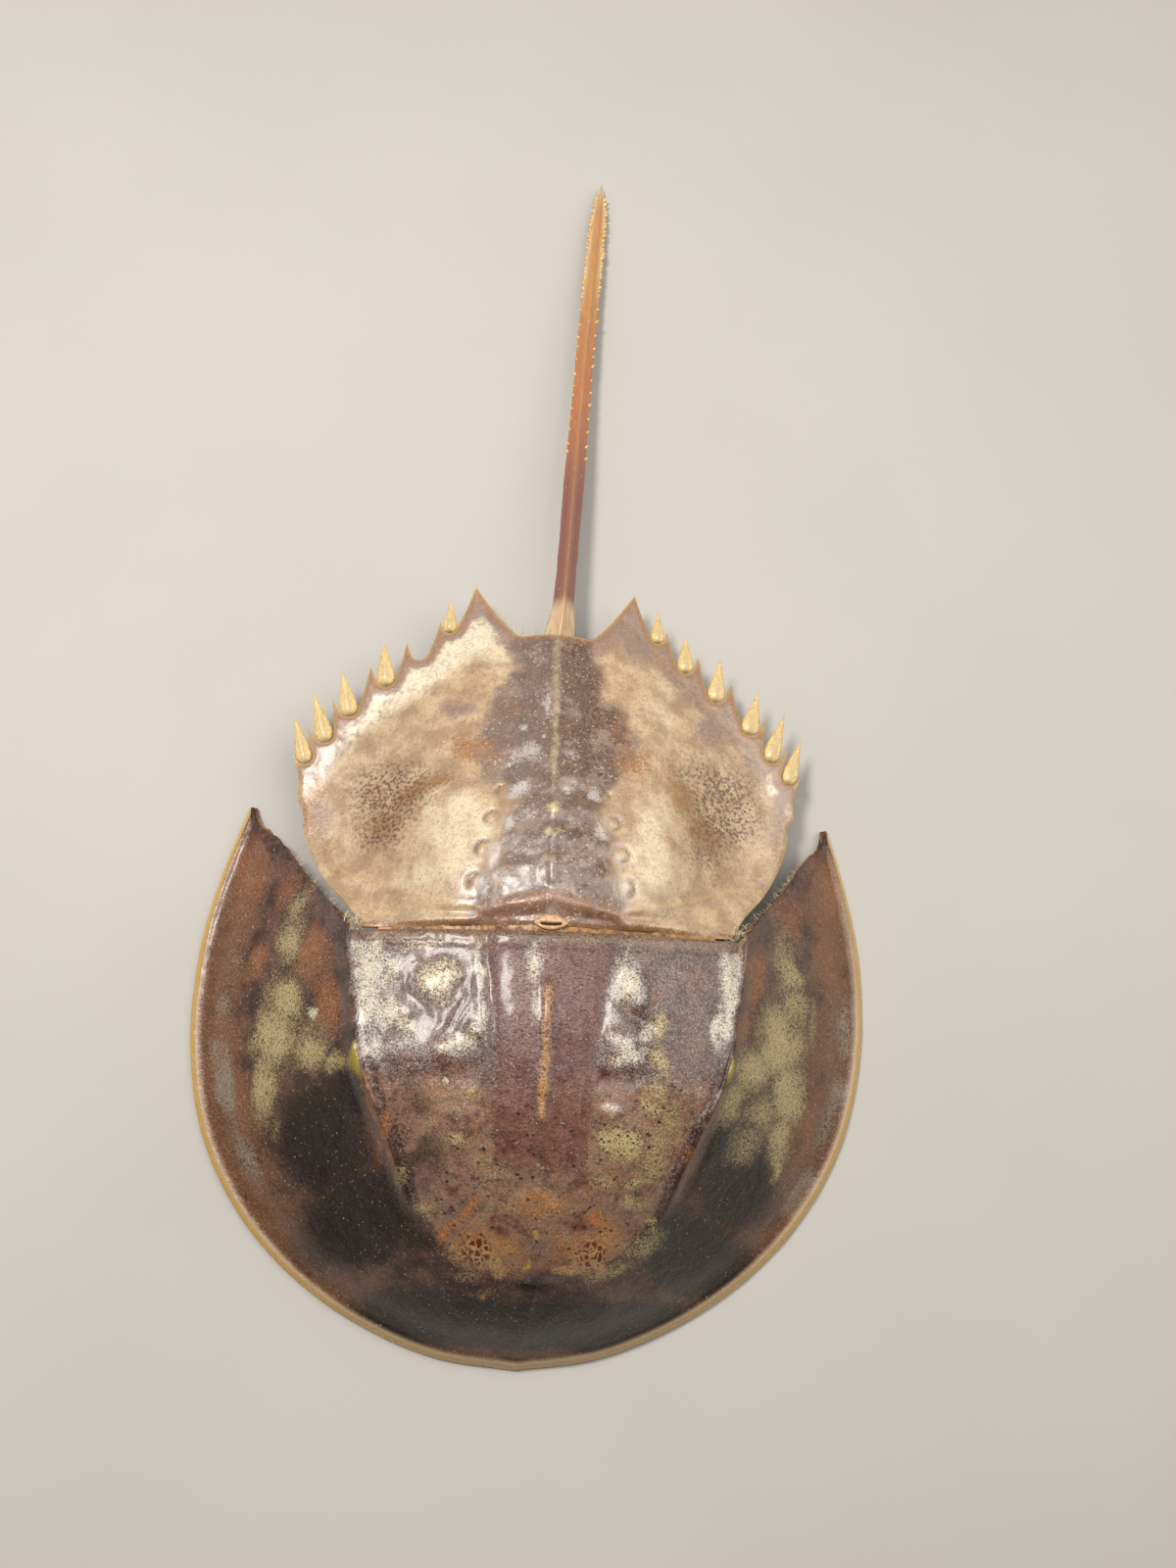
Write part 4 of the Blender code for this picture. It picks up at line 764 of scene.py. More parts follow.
def shield_masks(x, y, away, under):
    """Colour masks of the head shield, one value for each vertex."""
    furrow = furrow_away(x, y)
    keel = line_away(x, y, KEEL_LINE)
    fork = np.minimum(line_away(x, y, KEEL_FORK[0]), line_away(x, y, KEEL_FORK[1]))
    swirl = swirl_places(x, y)[2]
    within = value_at(RIDGE_X, y) - np.abs(x)
    crown = step(36.0, 33.5, np.abs(x)) * step(0.0, -0.5, y - 2.0)
    # Painted highlight: a pale line along the outer edge of each long furrow
    furrow_edge_highlight = bump(furrow - 1.5, 0.5) * step(-26.0, -16.0, y) * step(1.0, -1.0, y)
    ridge_side = bump(within + 1.0, 0.9) * step(-50.0, -40.0, y) * step(-24.0, -27.0, y)
    eyes = np.minimum(crescent(x, y, EYES[0]), crescent(x, y, EYES[1]))
    cells = np.minimum(*[np.hypot(x - cell_x, y - cell_y) for cell_x, cell_y in CELL_PLACES])
    streaks = np.minimum(*[line_away(x, y, smooth_line(line)) for line in STREAK_LINES])
    # Painted highlight along a strip just inside each eye ridge
    sheen = bump(within - 1.9 - 0.5 * grain(x, y, 2.8, 29), 2.3) * step(-25.0, -15.0, y) * step(-0.6, -2.6, y)
    flecks = 0.75 + 0.35 * grain(x, y, 1.8, 30)
    whorls = 0.8 * flecks * bump(swirl - 5.6, 1.5) * step(-2.0, -5.0, y)
    brim = away + 1.6 * grain(x, y, 6.0, 19)
    top = 1.0 - under
    masks = {
        "slate": areas(x, y, SLATE_AREAS, 54),
        "rust": np.maximum(areas(x, y, RUST_AREAS, 58), 0.85 * ridge_side),
        "khaki": areas(x, y, KHAKI_AREAS, 62),
        # Cream growth, and painted highlights on the plates and along the furrows
        "pale": np.maximum(areas(x, y, PALE_AND_HIGHLIGHT_AREAS, 66), 0.7 * furrow_edge_highlight),
        "maroon": np.maximum(areas(x, y, MAROON_AREAS, 70), whorls),
        "stain": areas(x, y, STAIN_AREAS, 74),
        "tan": areas(x, y, TAN_AREAS, 78),
        "orange": np.maximum(areas(x, y, ORANGE_AREAS, 82),
                             0.5 * bump(fork, 1.0) + 0.75 * ridge_side * flecks),
        "keel": bump(keel + 0.3 * grain(x, y, 1.6, 34), 1.0),
        # Whitish bloom and painted highlights
        "bloom_and_highlight": np.maximum(areas(x, y, HIGHLIGHT_AND_BLOOM_AREAS, 110), 1.1 * sheen),
        "yellow": areas(x, y, YELLOW_AREAS, 86),
        "eye": 1.0 - step(0.75, 1.05, eyes),
        "cells": 1.0 - step(CELL_HALF_WIDTH - 0.9, CELL_HALF_WIDTH + 0.3, cells),
        "band": (1.0 - step(8.0, 18.0, brim)) * mix(0.75, 1.0, step(-66.0, -40.0, y)),
        "streak": bump(streaks, 3.4) * (0.85 + 0.5 * grain(x, y, 4.2, 33)),
        "rim": 1.0 - step(0.75, 1.1, away),
        # Pale bead inside the rim, strongest towards the front; its light tone is partly a painted highlight
        "bead": bump(away - 1.25, 0.6) * step(30.0, -20.0, y),
        "strip": step(-2.7, -2.1, y) * crown,
        "lobe": step(1.0, -0.6, furrow) * step(-45.0, -36.0, y) * step(-0.5, -3.0, y),
        "leather": crown * step(-20.0, -30.0, y) * step(-60.0, -54.0, y) * step(1.0, 3.0, within),
        "crown": crown * step(-60.0, -52.0, y) * step(-0.5, 1.0, within),
        "under": under,
    }
    return {name: values * (1.0 if name == "under" else top) for name, values in masks.items()}


def build_head_shield(sizes, material):
    """Head shield: its wall with the rim folded under, as closed loops from tip to tip."""
    top, smooth, away, rim, rear, lip = shield_surface(sizes)
    columns = len(rim)
    wall = smooth - normals_of(smooth) * SHIELD_WALL
    wall[..., 2] = np.maximum(wall[..., 2], WALL_TIP_HEIGHT)
    rows = smooth.shape[1]
    outer_shares = (np.arange(OUTER_ROWS) / OUTER_ROWS) ** 1.4
    roof = [int(np.searchsorted(outer_shares, share)) for share in WALL_OUTER_SHARES]
    roof += [OUTER_ROWS + int(INNER_ROWS * share) for share in WALL_INNER_SHARES]
    edge = top[:, -1:].copy()
    edge[..., 2] = np.maximum(edge[..., 2] - SHIELD_WALL - lip[:, None], 0.3 * edge[..., 2])
    under = wall[:, roof[::-1]]
    inward = rear[:, :2] - rim
    span = np.linalg.norm(inward, axis=1)
    inward = inward / np.maximum(span, 1.0e-6)[:, None]
    point = np.where(rim[:, 1] < 0.0, FOLD_POINT * bump(rim[:, 0], 12.0), 0.0)
    fold = np.minimum(FOLD_WIDTH + point, 0.4 * span)
    apex = np.minimum(FOLD_APEX, 0.16 * span)
    thickness = np.minimum(FOLD_THICKNESS, 0.08 * span + 0.2)
    small = np.minimum(0.3, 0.1 * span)
    # How far in from the rim, and how high, each ring of the folded edge lies
    rings = ((apex, thickness), (mix(apex, fold, 0.5), thickness), (fold, thickness),
             (fold + small, thickness * 0.5), (fold, thickness * 0.05), (fold * 0.5, thickness * 0.0),
             (small, thickness * 0.0), (small * 0.25, thickness * 0.2))
    folded = [np.column_stack((rim + inward * reach[:, None], height)) for reach, height in rings]
    loops = np.concatenate((top, edge, under, np.stack(folded, axis=1), top[:, :1]), axis=1)
    hidden = np.zeros(loops.shape[:2])
    hidden[:, rows + 1:-3] = 1.0
    distance = np.concatenate((away, np.full((columns, loops.shape[1] - rows - 4), FAR_INSIDE),
                               np.zeros((columns, 4))), axis=1)
    for end in (0, -1):
        loops[end] = smooth[end, 0] + (0.0, -0.25, -0.2)
    masks = shield_masks(loops[..., 0], loops[..., 1], distance, hidden)
    piece = sheet("shell_head_shield", loops, masks)
    finish_piece(piece, "dark_shell", material, "head_shield")


# ---- abdomen shield ----

def abdomen_height(x, y):
    """Height of the abdomen shield, without the small relief."""
    x = np.abs(x)
    middle = value_at(AXIS_HEIGHT, y)
    edge = middle - value_at(AXIS_EDGE_DROP, y)
    half = value_at(AXIS_HALF_WIDTH, y)
    margin = np.maximum(value_at(MARGIN_X, y), half + 1.0)
    inner = edge + (middle - edge) * (1.0 - np.minimum(x / half, 1.0) ** 2.2)
    share = np.clip((x - half) / (margin - half), 0.0, 1.0)
    fall = 1.0 - share + LOBE_SWELL * np.sin(2.0 * math.pi * share)
    low = value_at(MARGIN_HEIGHT, y)
    return np.where(x <= half, inner, low + (edge - low) * fall)


def abdomen_relief(x, y, sizes):
    """Keel, pits, arch, bead and fine lines on the abdomen shield."""
    half = value_at(AXIS_HALF_WIDTH, y)
    keel = step(4.5, 9.0, y) * (1.0 - step(59.0, 60.4, y))
    relief = keel * (0.55 * bump(x + 0.25 * grain(x, y, 3.0, 25), 0.8) + 0.35 * bump(x, 2.4))
    for node_x, node_y in KEEL_NODES:
        relief += 0.35 * bump(np.hypot((x - node_x) * 0.75, y - node_y), 1.5)
    relief -= 0.35 * bump(np.abs(x) - half - 0.2, 1.8) * step(3.0, 7.0, y) * step(60.0, 50.0, y)
    arch = line_away(x, y, smooth_line(ARCH))
    relief += 0.45 * bump(arch, 1.1) - 0.1 * bump(arch - 2.0, 0.9)
    relief -= 0.3 * step(4.6, 2.2, y) * step(13.5, 11.5, np.abs(x)) * (arch > 0.5)
    bead = step(11.0, 14.0, np.abs(x)) * (1.0 - step(29.0, 33.0, np.abs(x)))
    relief += sizes.bead_height * bead * bump(y - ABDOMEN_FRONT_Y - 1.0, 0.7)
    relief -= 0.35 * bead * bump(y - ABDOMEN_FRONT_Y - 2.5, 0.6)
    for (pit_x, pit_y), radius in zip(PITS, PIT_RADII):
        reach = np.hypot(x - pit_x, y - pit_y)
        relief += 0.2 * bump(reach, radius * 0.75)
        relief -= sizes.pit_depth * bump(reach - radius * 0.85, radius * 0.26) * pit_side(x, y, pit_x, pit_y)
        relief += 0.05 * bump(reach - radius * 1.4, radius * 0.35)
    for slit_x, slit_y in PIT_SLITS:
        across = (x - slit_x) - 0.35 * (y - slit_y) * np.sign(slit_x) * -1.0
        relief -= 0.4 * bump(across, 0.35) * bump(y - slit_y, 1.0)
        relief += 0.25 * bump(across - 0.7 * np.sign(slit_x), 0.4) * bump(y - slit_y, 1.1)
    for line in FINE_LINES:
        reach = line_away(x, y, smooth_line(line))
        relief += 0.14 * bump(reach, 0.45) - 0.08 * bump(reach - 1.0, 0.7)
    axis = step(2.0, -2.0, np.abs(x) - half)
    waves = np.sin((y - 3.0) * 1.05 + 0.8 * grain(x, y, 5.0, 20))
    relief += 0.12 * axis * waves * step(6.0, 9.0, y) * step(36.0, 30.0, y)
    relief += axis * (0.14 * grain(x, y, 2.2, 11) + 0.1 * grain(x, y, 0.95, 12))
    pebbles = bump(np.abs(x) - 17.5, 3.5) * bump(y - 3.3, 0.9)
    relief += 0.16 * pebbles * grain(x, y, 0.95, 13)
    knots = bump(np.abs(x) - 6.6, 3.0) * bump(y - 32.5, 4.5)
    relief += 0.22 * knots * grain(x, y, 1.5, 22)
    relief -= 0.35 * bump(np.hypot(x - LOBE_DENT[0], y - LOBE_DENT[1]), 1.0)
    band = bump(line_away(np.abs(x), y, smooth_line(INNER_LINE[5:], 24)), 4.0) * step(26.0, 34.0, y)
    relief += band * 0.12 * grain(x + y, 0.35 * (x - y), 1.1, 24)
    return relief + 0.04 * grain(x, y, 2.4, 14) + 0.16 * grain(x, y, 8.0, 15)


def pit_side(x, y, pit_x, pit_y):
    """1 on the outer side of a muscle pit, where its dark crescent lies, and 0 on the other."""
    reach = np.maximum(np.hypot(x - pit_x, y - pit_y), 0.05)
    if pit_x < 0.0:
        facing = (-0.8 * (x - pit_x) + 0.6 * (y - pit_y)) / reach
    else:
        facing = (0.95 * (x - pit_x) - 0.1 * (y - pit_y)) / reach
    return step(-0.35, 0.75, facing)


def socket_arc(index, count):
    """Round notch that holds one movable spine."""
    base = np.array(SOCKETS[index])
    ahead = np.array(SPINE_TIPS[index]) - base
    ahead = ahead / np.linalg.norm(ahead)
    aside = np.array((ahead[1], -ahead[0]))
    radius = SPINE_HALF_WIDTHS[index] + SOCKET_GAP * 0.6
    angles = np.linspace(-SOCKET_TURN, SOCKET_TURN, count)[:, None]
    return base + (-aside * np.sin(angles) - ahead * np.cos(angles)) * radius


def side_outline():
    """Right half of the abdomen's outline, from its front corner past the teeth to the tail."""
    parts = [along(SHOULDER, np.linspace(0.0, 1.0, 40))]
    for index, tooth in enumerate(TEETH):
        arc = socket_arc(index, SOCKET_POINTS)
        parts.append(tooth_side(parts[-1][-1], arc[0], TOOTH_POINTS)[1:-1])
        parts.append(arc)
        parts.append(tooth_side(arc[-1], np.array(tooth), TOOTH_POINTS)[1:])
    parts.append(along(REAR_EDGE, np.linspace(1.0, 0.0, 60))[1:])
    return np.concatenate(parts)


def from_outline(x, y, outline):
    """Distance inwards from a closed outline, below 0 outside it."""
    closed = np.concatenate((outline, outline[:1]))
    inside = np.zeros(np.shape(x), bool)
    for (x0, y0), (x1, y1) in zip(closed, closed[1:]):
        if y0 != y1:
            inside ^= ((y0 > y) != (y1 > y)) & (x < x0 + (y - y0) * (x1 - x0) / (y1 - y0))
    return np.where(inside, 1.0, -1.0) * line_away(x, y, closed)


def tooth_side(start, end, count):
    """One hollow side of a fixed tooth."""
    t = np.linspace(0.0, 1.0, count)[:, None]
    across = np.array((end[1] - start[1], start[0] - end[0]))
    return mix(start, end, t) - across * TOOTH_HOLLOW * np.sin(math.pi * t)


def abdomen_points(outline, sizes):
    """Top surface of the abdomen shield as a grid that reaches past its outline."""
    reach_x = outline[:, 0].max() + 0.6
    reach_y = outline[:, 1].max() + 0.6
    x, y = np.meshgrid(np.linspace(-reach_x, reach_x, int(2.0 * reach_x / ABDOMEN_STEP)),
                       np.linspace(0.2, reach_y, int(reach_y / ABDOMEN_STEP)), indexing="ij")
    inwards = np.maximum(from_outline(x, y, outline), 0.0)
    height = abdomen_height(x, y) + abdomen_relief(x, y, sizes) * step(0.0, 1.6, inwards)
    inner = line_away(np.abs(x), y, smooth_line(INNER_LINE[5:], 24))
    height += (0.4 * step(7.0, 3.0, inwards) * step(24.0, 34.0, y)
               - 0.75 * bump(inner, 2.6) * step(22.0, 34.0, y))
    height += 0.1 * bump(inwards - 0.9, 0.4) - 0.4 * np.exp(-inwards / 0.3)
    return np.stack((x, y, height), axis=-1)


def abdomen_masks(x, y, z, inwards):
    """Colour masks of the abdomen shield, one value for each vertex."""
    sway = 2.0 * grain(x, y, 4.4, 21) + 1.0 * grain(x, y, 1.6, 23)
    axis = step(3.6, -3.6, np.abs(x) - value_at(AXIS_STAIN, y) - sway)
    keel = (bump(x + 0.25 * grain(x, y, 3.0, 25), 1.3) * step(7.0, 14.0, y)
            * mix(0.45, 1.0, step(22.0, 32.0, y)))
    nodes = sum(bump(np.hypot((x - node_x) * 0.8, y - node_y), 1.5) for node_x, node_y in KEEL_NODES)
    pits = sum(bump(np.hypot(x - px, y - py) - r * 0.85, r * 0.24) * pit_side(x, y, px, py)
               for (px, py), r in zip(PITS, PIT_RADII))
    fine = np.minimum(*[line_away(x, y, smooth_line(line)) for line in FINE_LINES])
    # Painted highlight, a cream-white band inside the teeth, weaker at the far left edge
    highlight_band = np.maximum(1.3 * bump(line_away(x, y, smooth_line(HIGHLIGHT_BAND_LINES[0])), 4.6),
                       0.9 * bump(line_away(x, y, smooth_line(HIGHLIGHT_BAND_LINES[1])), 2.2))
    # Painted highlights in rings around the muscle pits
    glow = sum(bump(np.hypot(x - px, y - py) - r * 1.3, r * 0.55) for (px, py), r in zip(PITS, PIT_RADII))
    behind = step(26.0, 34.0, y)
    margin = step(6.2, 3.0, inwards) * behind
    inner = 1.0 - step(0.0, 0.25, abdomen_height(x, y) - 0.55 - z)
    masks = {
        "axis": axis,
        # The left half of the middle is laid greyer and lighter, partly as painted sheen from the light on the
        # left
        "right": step(-7.0, 7.0, x + 2.0 * grain(x, y, 3.0, 26)),
        "keel": keel,
        "nodes": np.clip(nodes, 0.0, 1.0) * (0.85 + 0.3 * grain(x, y, 1.2, 35)),
        "pits": np.clip(pits, 0.0, 1.0),
        "glow": np.maximum(np.clip(glow, 0.0, 1.0) * 0.6, areas(x, y, FROST_AND_HIGHLIGHT_AREAS, 114)),
        "grey": np.maximum(areas(x, y, LOBE_GREY_AREAS, 90), 0.9 * margin),
        "orange": areas(x, y, LOBE_ORANGE_AREAS, 94),
        "brown": areas(x, y, LOBE_BROWN_AREAS, 98),
        "pale": areas(x, y, LOBE_PALE_AREAS, 102),
        "highlight_band": highlight_band * step(1.0, 3.0, inwards) * mix(0.35, 1.0, step(-43.0, -37.0, x)),
        "dots": areas(x, y, DOT_AREAS, 106),
        "tooth": step(2.6, 0.9, inwards) * behind,
        "edge": step(0.6, 0.2, inwards) * mix(0.35, 0.85, behind),
        "arch": bump(line_away(x, y, smooth_line(ARCH)), 2.0),
        "front": np.maximum(step(2.4, 1.2, y),
                            step(4.4, 3.0, y + 0.12 * np.abs(x)) * step(13.5, 11.5, np.abs(x))),
        "rear": bump(y - 59.6, 1.0) * step(8.0, 6.0, np.abs(x)),
        "line": bump(fine, 0.5),
    }
    masks = {name: values * inner for name, values in masks.items()}
    masks["under"] = 1.0 - inner
    return masks


def build_abdomen(sizes, material):
    """Abdomen shield: a surface given its wall by Solidify and cut to its toothed outline."""
    half = side_outline()
    outline = np.concatenate((half, half[-2::-1] * (-1.0, 1.0)))
    piece = sheet("shell_abdomen_shield", abdomen_points(outline, sizes), merge=0.0)
    up = np.empty(len(piece.data.polygons) * 3, np.float32)
    piece.data.polygons.foreach_get("normal", up)
    if up.reshape(-1, 3)[:, 2].mean() < 0.0:
        piece.data.flip_normals()
    wall = piece.modifiers.new("Wall", "SOLIDIFY")
    wall.thickness = ABDOMEN_WALL * MM
    wall.offset = -1.0
    bpy.ops.object.modifier_apply(modifier=wall.name)
    deselect_all()
    bpy.ops.mesh.primitive_circle_add(vertices=len(outline), fill_type="NGON", radius=1.0)
    cutter = bpy.context.object
    set_points(cutter.data, np.column_stack((outline, np.full(len(outline), CUTTER_BASE))))
    bpy.ops.object.mode_set(mode="EDIT")
    bpy.ops.mesh.select_all(action="SELECT")
    bpy.ops.mesh.extrude_region_move(TRANSFORM_OT_translate={"value": (0.0, 0.0, CUTTER_HEIGHT * MM)})
    bpy.ops.mesh.select_all(action="SELECT")
    bpy.ops.mesh.normals_make_consistent(inside=False)
    select_only(piece)
    cut = piece.modifiers.new("Outline", "BOOLEAN")
    cut.operation = "INTERSECT"
    cut.solver = "EXACT"
    cut.object = cutter
    bpy.ops.object.modifier_apply(modifier=cut.name)
    bpy.data.objects.remove(cutter)
    x, y, z = (places_of(piece.data).astype(float) / MM - SHIFT).T
    if len(x) < LEAST_VERTICES:
        raise RuntimeError(f"the cut left only {len(x)} vertices of the abdomen shield")
    inwards = np.maximum(from_outline(x, y, outline), 0.0)
    lay_masks(piece.data, abdomen_masks(x, y, z, inwards))
    bpy.ops.object.shade_smooth_by_angle(angle=math.radians(CREASE_DEGREES))
    finish_piece(piece, "pale_shell", material, "abdomen_shield")


# ---- tail, spines, hinge and bristles ----

def tail_tables(y):
    """Middle of the tail, that middle's height, and its half width and height at these places."""
    stations = np.array(TAIL_STATIONS)
    return [value_at(tuple(zip(stations[:, 1], stations[:, k])), y) for k in (0, 2, 3, 4)]


def build_tail(sizes, horn, cream):
    """Tail spine with a keel, and its two rows of small thorns towards the point."""
    y = np.concatenate((np.linspace(TAIL_START, TAIL_BEND, TAIL_RINGS[0])[:-1],
                        np.linspace(TAIL_BEND, TAIL_END, TAIL_RINGS[1])))
    x, z, half_width, height = tail_tables(y)
    section = along(TAIL_SECTION + TAIL_SECTION[:1], np.linspace(0.0, 1.0, TAIL_AROUND))
    rings = np.empty((len(y), TAIL_AROUND, 3))
    wobble = 0.03 * grain(y, np.zeros_like(y), 3.0, 31)
    rings[..., 0] = x[:, None] + section[None, :, 0] * (half_width * (0.98 + wobble))[:, None]
    rings[..., 1] = y[:, None]
    rings[..., 2] = z[:, None] + section[None, :, 1] * (height * (0.98 + wobble))[:, None]
    groove = bump(section[:, 0] - 0.5, 0.16) + bump(section[:, 0] + 0.5, 0.16)
    above = (section[:, 1] > 0.0)[None, :]
    rings[..., 2] -= 0.16 * groove[None, :] * above * step(74.0, 82.0, y)[:, None]
    rings[0] = (TAIL_STATIONS[0][0], TAIL_TIPS[0], TAIL_STATIONS[0][2])
    rings[-1] = (TAIL_STATIONS[-1][0] + 0.03, TAIL_TIPS[1], TAIL_STATIONS[-1][2])
    share = (y - TAIL_COLOUR_START) / TAIL_COLOUR_LENGTH
    masks = {"tail": np.repeat(share[:, None], TAIL_AROUND, axis=1),
             "keel": np.repeat(bump(section[:, 0], 0.22)[None, :], len(y), axis=0) * above,
             "brow": np.repeat(bump(np.abs(section[:, 0]) - 1.0, 0.42)[None, :], len(y), axis=0)}
    piece = sheet("shell_tail_spine", rings, masks)
    finish_piece(piece, "tail_horn", horn, "tail_spine")
    random = np.random.default_rng(SEED)
    places = []
    for side in (-1.0, 1.0):
        place = THORN_START + random.uniform(0.0, 2.0)
        while place < THORN_END:
            places.append((side, place, sizes.thorn_length * random.uniform(0.6, 1.15)))
            place += random.uniform(1.6, 4.0) if place < THORN_DENSE else random.uniform(0.7, 1.5)
    thorns = []
    for side, place, size in places:
        middle, low, half, high = [float(value) for value in tail_tables(place)]
        base = np.array((middle + side * half * 0.86, place, low - 0.22 * high))
        aim = np.array((side * 0.75, 0.62, 0.32 + 0.2 * random.uniform(-1.0, 1.0)))
        thorns.append(thorn(base, base + aim * size, 0.24 + 0.2 * size, 7, 5))
    piece = join_rings("shell_tail_thorns", thorns)
    finish_piece(piece, "tail_horn", cream)


def thorn(base, tip, radius, around, rings):
    """Rings of a small pointed thorn from base to tip."""
    axis = tip - base
    length = np.linalg.norm(axis)
    axis = axis / length
    side = np.cross(axis, (0.0, 0.0, 1.0))
    side = side / np.linalg.norm(side)
    other = np.cross(side, axis)
    angles = np.linspace(0.0, 2.0 * math.pi, around, endpoint=False)
    made = []
    for k in range(rings):
        share = k / (rings - 1)
        width = radius * (1.0 - share) ** 0.7 + 0.01
        centre = base + axis * (length * (share - 0.15))
        around_it = np.cos(angles)[:, None] * side + np.sin(angles)[:, None] * other
        made.append(centre + width * around_it)
    return np.array(made)


def join_rings(name, bundles):
    """One mesh of many small tubes, each given as rings of points, closed at both ends."""
    points = []
    faces = []
    for rings in bundles:
        count, around = rings.shape[:2]
        start = len(points)
        points.extend(rings.reshape(-1, 3))
        for k in range(count - 1):
            for i in range(around):
                j = (i + 1) % around
                low = start + k * around
                faces.append((low + i, low + j, low + around + j, low + around + i))
        faces.append([start + i for i in range(around)][::-1])
        faces.append([start + (count - 1) * around + i for i in range(around)])
    mesh = bpy.data.meshes.new(name)
    mesh.from_pydata([tuple((point + SHIFT) * MM) for point in np.array(points)], [], faces)
    piece = bpy.data.objects.new(name, mesh)
    bpy.context.scene.collection.objects.link(piece)
    select_only(piece)
    close_up()
    return piece


def spine_points(index, side, ball):
    """Places of one movable spine, a flattened thorn drawn out of a ball, and its two masks."""
    start = np.array(SOCKETS[index])
    ahead = np.array(SPINE_TIPS[index]) - start
    length = np.linalg.norm(ahead)
    ahead = ahead / length
    aside = np.array((ahead[1], -ahead[0]))
    half_width = SPINE_HALF_WIDTHS[index] * 1.07
    heel = half_width * 0.8
    share = np.arccos(np.clip(-ball[:, 2], -1.0, 1.0)) / math.pi
    spot = np.hypot(ball[:, 0], ball[:, 1])
    across = np.where(spot > 1.0e-6, ball[:, 0] / np.maximum(spot, 1.0e-6), 0.0)
    up = np.where(spot > 1.0e-6, ball[:, 1] / np.maximum(spot, 1.0e-6), 0.0)
    reach = mix(-heel, length - 0.05, share ** 1.35)
    far = np.clip((reach + heel) / (length + heel), 0.0, 1.0)
    swell = np.clip(far * 5.2, 0.0, 1.0)
    width = half_width * np.minimum(np.sqrt(swell * (2.0 - swell)), 1.0)
    width = width * (1.0 - step(0.1, 1.02, far) * 0.985) ** 0.86
    thick = SPINE_THICKNESS * 0.42 * (0.3 + 0.7 * width / half_width) * np.minimum(spot * 3.0, 1.0)
    ridge = 1.0 + 0.22 * bump(across, 0.3) * (up > 0.0)
    seat = float(abdomen_height(start[0], start[1])) - 0.55
    place = start + ahead * reach[:, None] + aside * (across * width)[:, None]
    points = np.stack((side * place[:, 0], place[:, 1], seat + up * thick * ridge), axis=-1)
    return points, {"far": far, "middle": bump(across * width, half_width * 0.45) * (up > 0.0)}


def build_spines(material):
    """Movable side spines, one for each CAD spine. One left spine is lost, as in the photograph."""
    for index in range(len(SOCKETS)):
        number = len(SOCKETS) - index
        for side, word in ((1.0, "right"), (-1.0, "left")):
            if side < 0.0 and index == MISSING_LEFT_SPINE:
                continue
            piece, ball = new_ball(f"shell_side_spine_{word}_{number}", *SPINE_BALL)
            points, masks = spine_points(index, side, ball)
            set_points(piece.data, points)
            lay_masks(piece.data, masks)
            close_up(SPINE_MERGE_DISTANCE)
            finish_piece(piece, "spine_horn", material, f"side_spine_{word}_{number}")


def hinge_top(x):
    """Height of the hinge groove's lower lip at this place across the shell."""
    rear = abdomen_height(x, np.full_like(x, ABDOMEN_FRONT_Y))
    return np.minimum(shield_crown(x, np.full_like(x, HINGE_Y)), rear)


def build_hinge(amber, cream):
    """Hinge membrane with its wrinkles, and the pale knob with a slit in its middle."""
    across = np.linspace(-MEMBRANE_REACH, MEMBRANE_REACH, MEMBRANE_GRID[0])
    section = np.linspace(0.0, 2.0 * math.pi, MEMBRANE_GRID[1])
    x = np.repeat(across[:, None], len(section), axis=1)
    y = MEMBRANE_Y + MEMBRANE_HALF_DEPTH * np.cos(section)[None, :] + np.zeros_like(x)
    lift = np.sin(section)[None, :]
    top = hinge_top(x) - MEMBRANE_DROP
    wrinkle = 0.16 * grain(x, y * 2.0, 0.9, 41) + 0.14 * grain(x, y, 2.4, 42)
    z = top + np.where(lift > 0.0, lift * 0.55, lift * 0.5) + wrinkle * (lift > 0.2)
    points = np.stack((x, y, z), axis=-1)
    points[0] = points[0].mean(axis=0)
    points[-1] = points[-1].mean(axis=0)
    piece = sheet("shell_hinge_membrane", points)
    finish_piece(piece, "membrane", amber, "hinge_membrane")
    piece, ball = new_ball("shell_hinge_knob", *KNOB_BALL)
    half_width, half_depth, half_height = KNOB_SIZE
    x = ball[:, 0] * half_width
    y = ball[:, 1] * half_depth * (1.0 - 0.35 * np.abs(ball[:, 0]) ** 2)
    slit = bump(y + 0.35 - 0.05 * x * x, 0.3) * step(2.3, 1.5, np.abs(x))
    z = ball[:, 2] * half_height - 0.55 * slit * (ball[:, 2] > 0.0) + 0.06 * grain(x, y, 0.8, 43)
    set_points(piece.data, np.stack((x, y, z), axis=-1) + KNOB_PLACE)
    lay_masks(piece.data, {"slit": slit * (ball[:, 2] > 0.0)})
    bpy.ops.object.shade_smooth()
    finish_piece(piece, "membrane", cream)


def hair(root, aim, length, radius, droop, random):
    """Rings of one thin, bent bristle."""
    count = 5
    aim = aim / np.linalg.norm(aim)
    sway = random.normal(0.0, 0.22, 3)
    made = []
    for k in range(count):
        share = k / (count - 1)
        centre = root + aim * length * share + (sway + (0.0, 0.0, -droop)) * length * share * share
        width = radius * (1.0 - 0.8 * share)
        angles = np.array((0.0, 2.1, 4.2))
        ring = np.stack((np.cos(angles), np.sin(angles) * 0.6, np.sin(angles) * 0.8), axis=-1)
        made.append(centre + ring * width)
    return np.array(made)


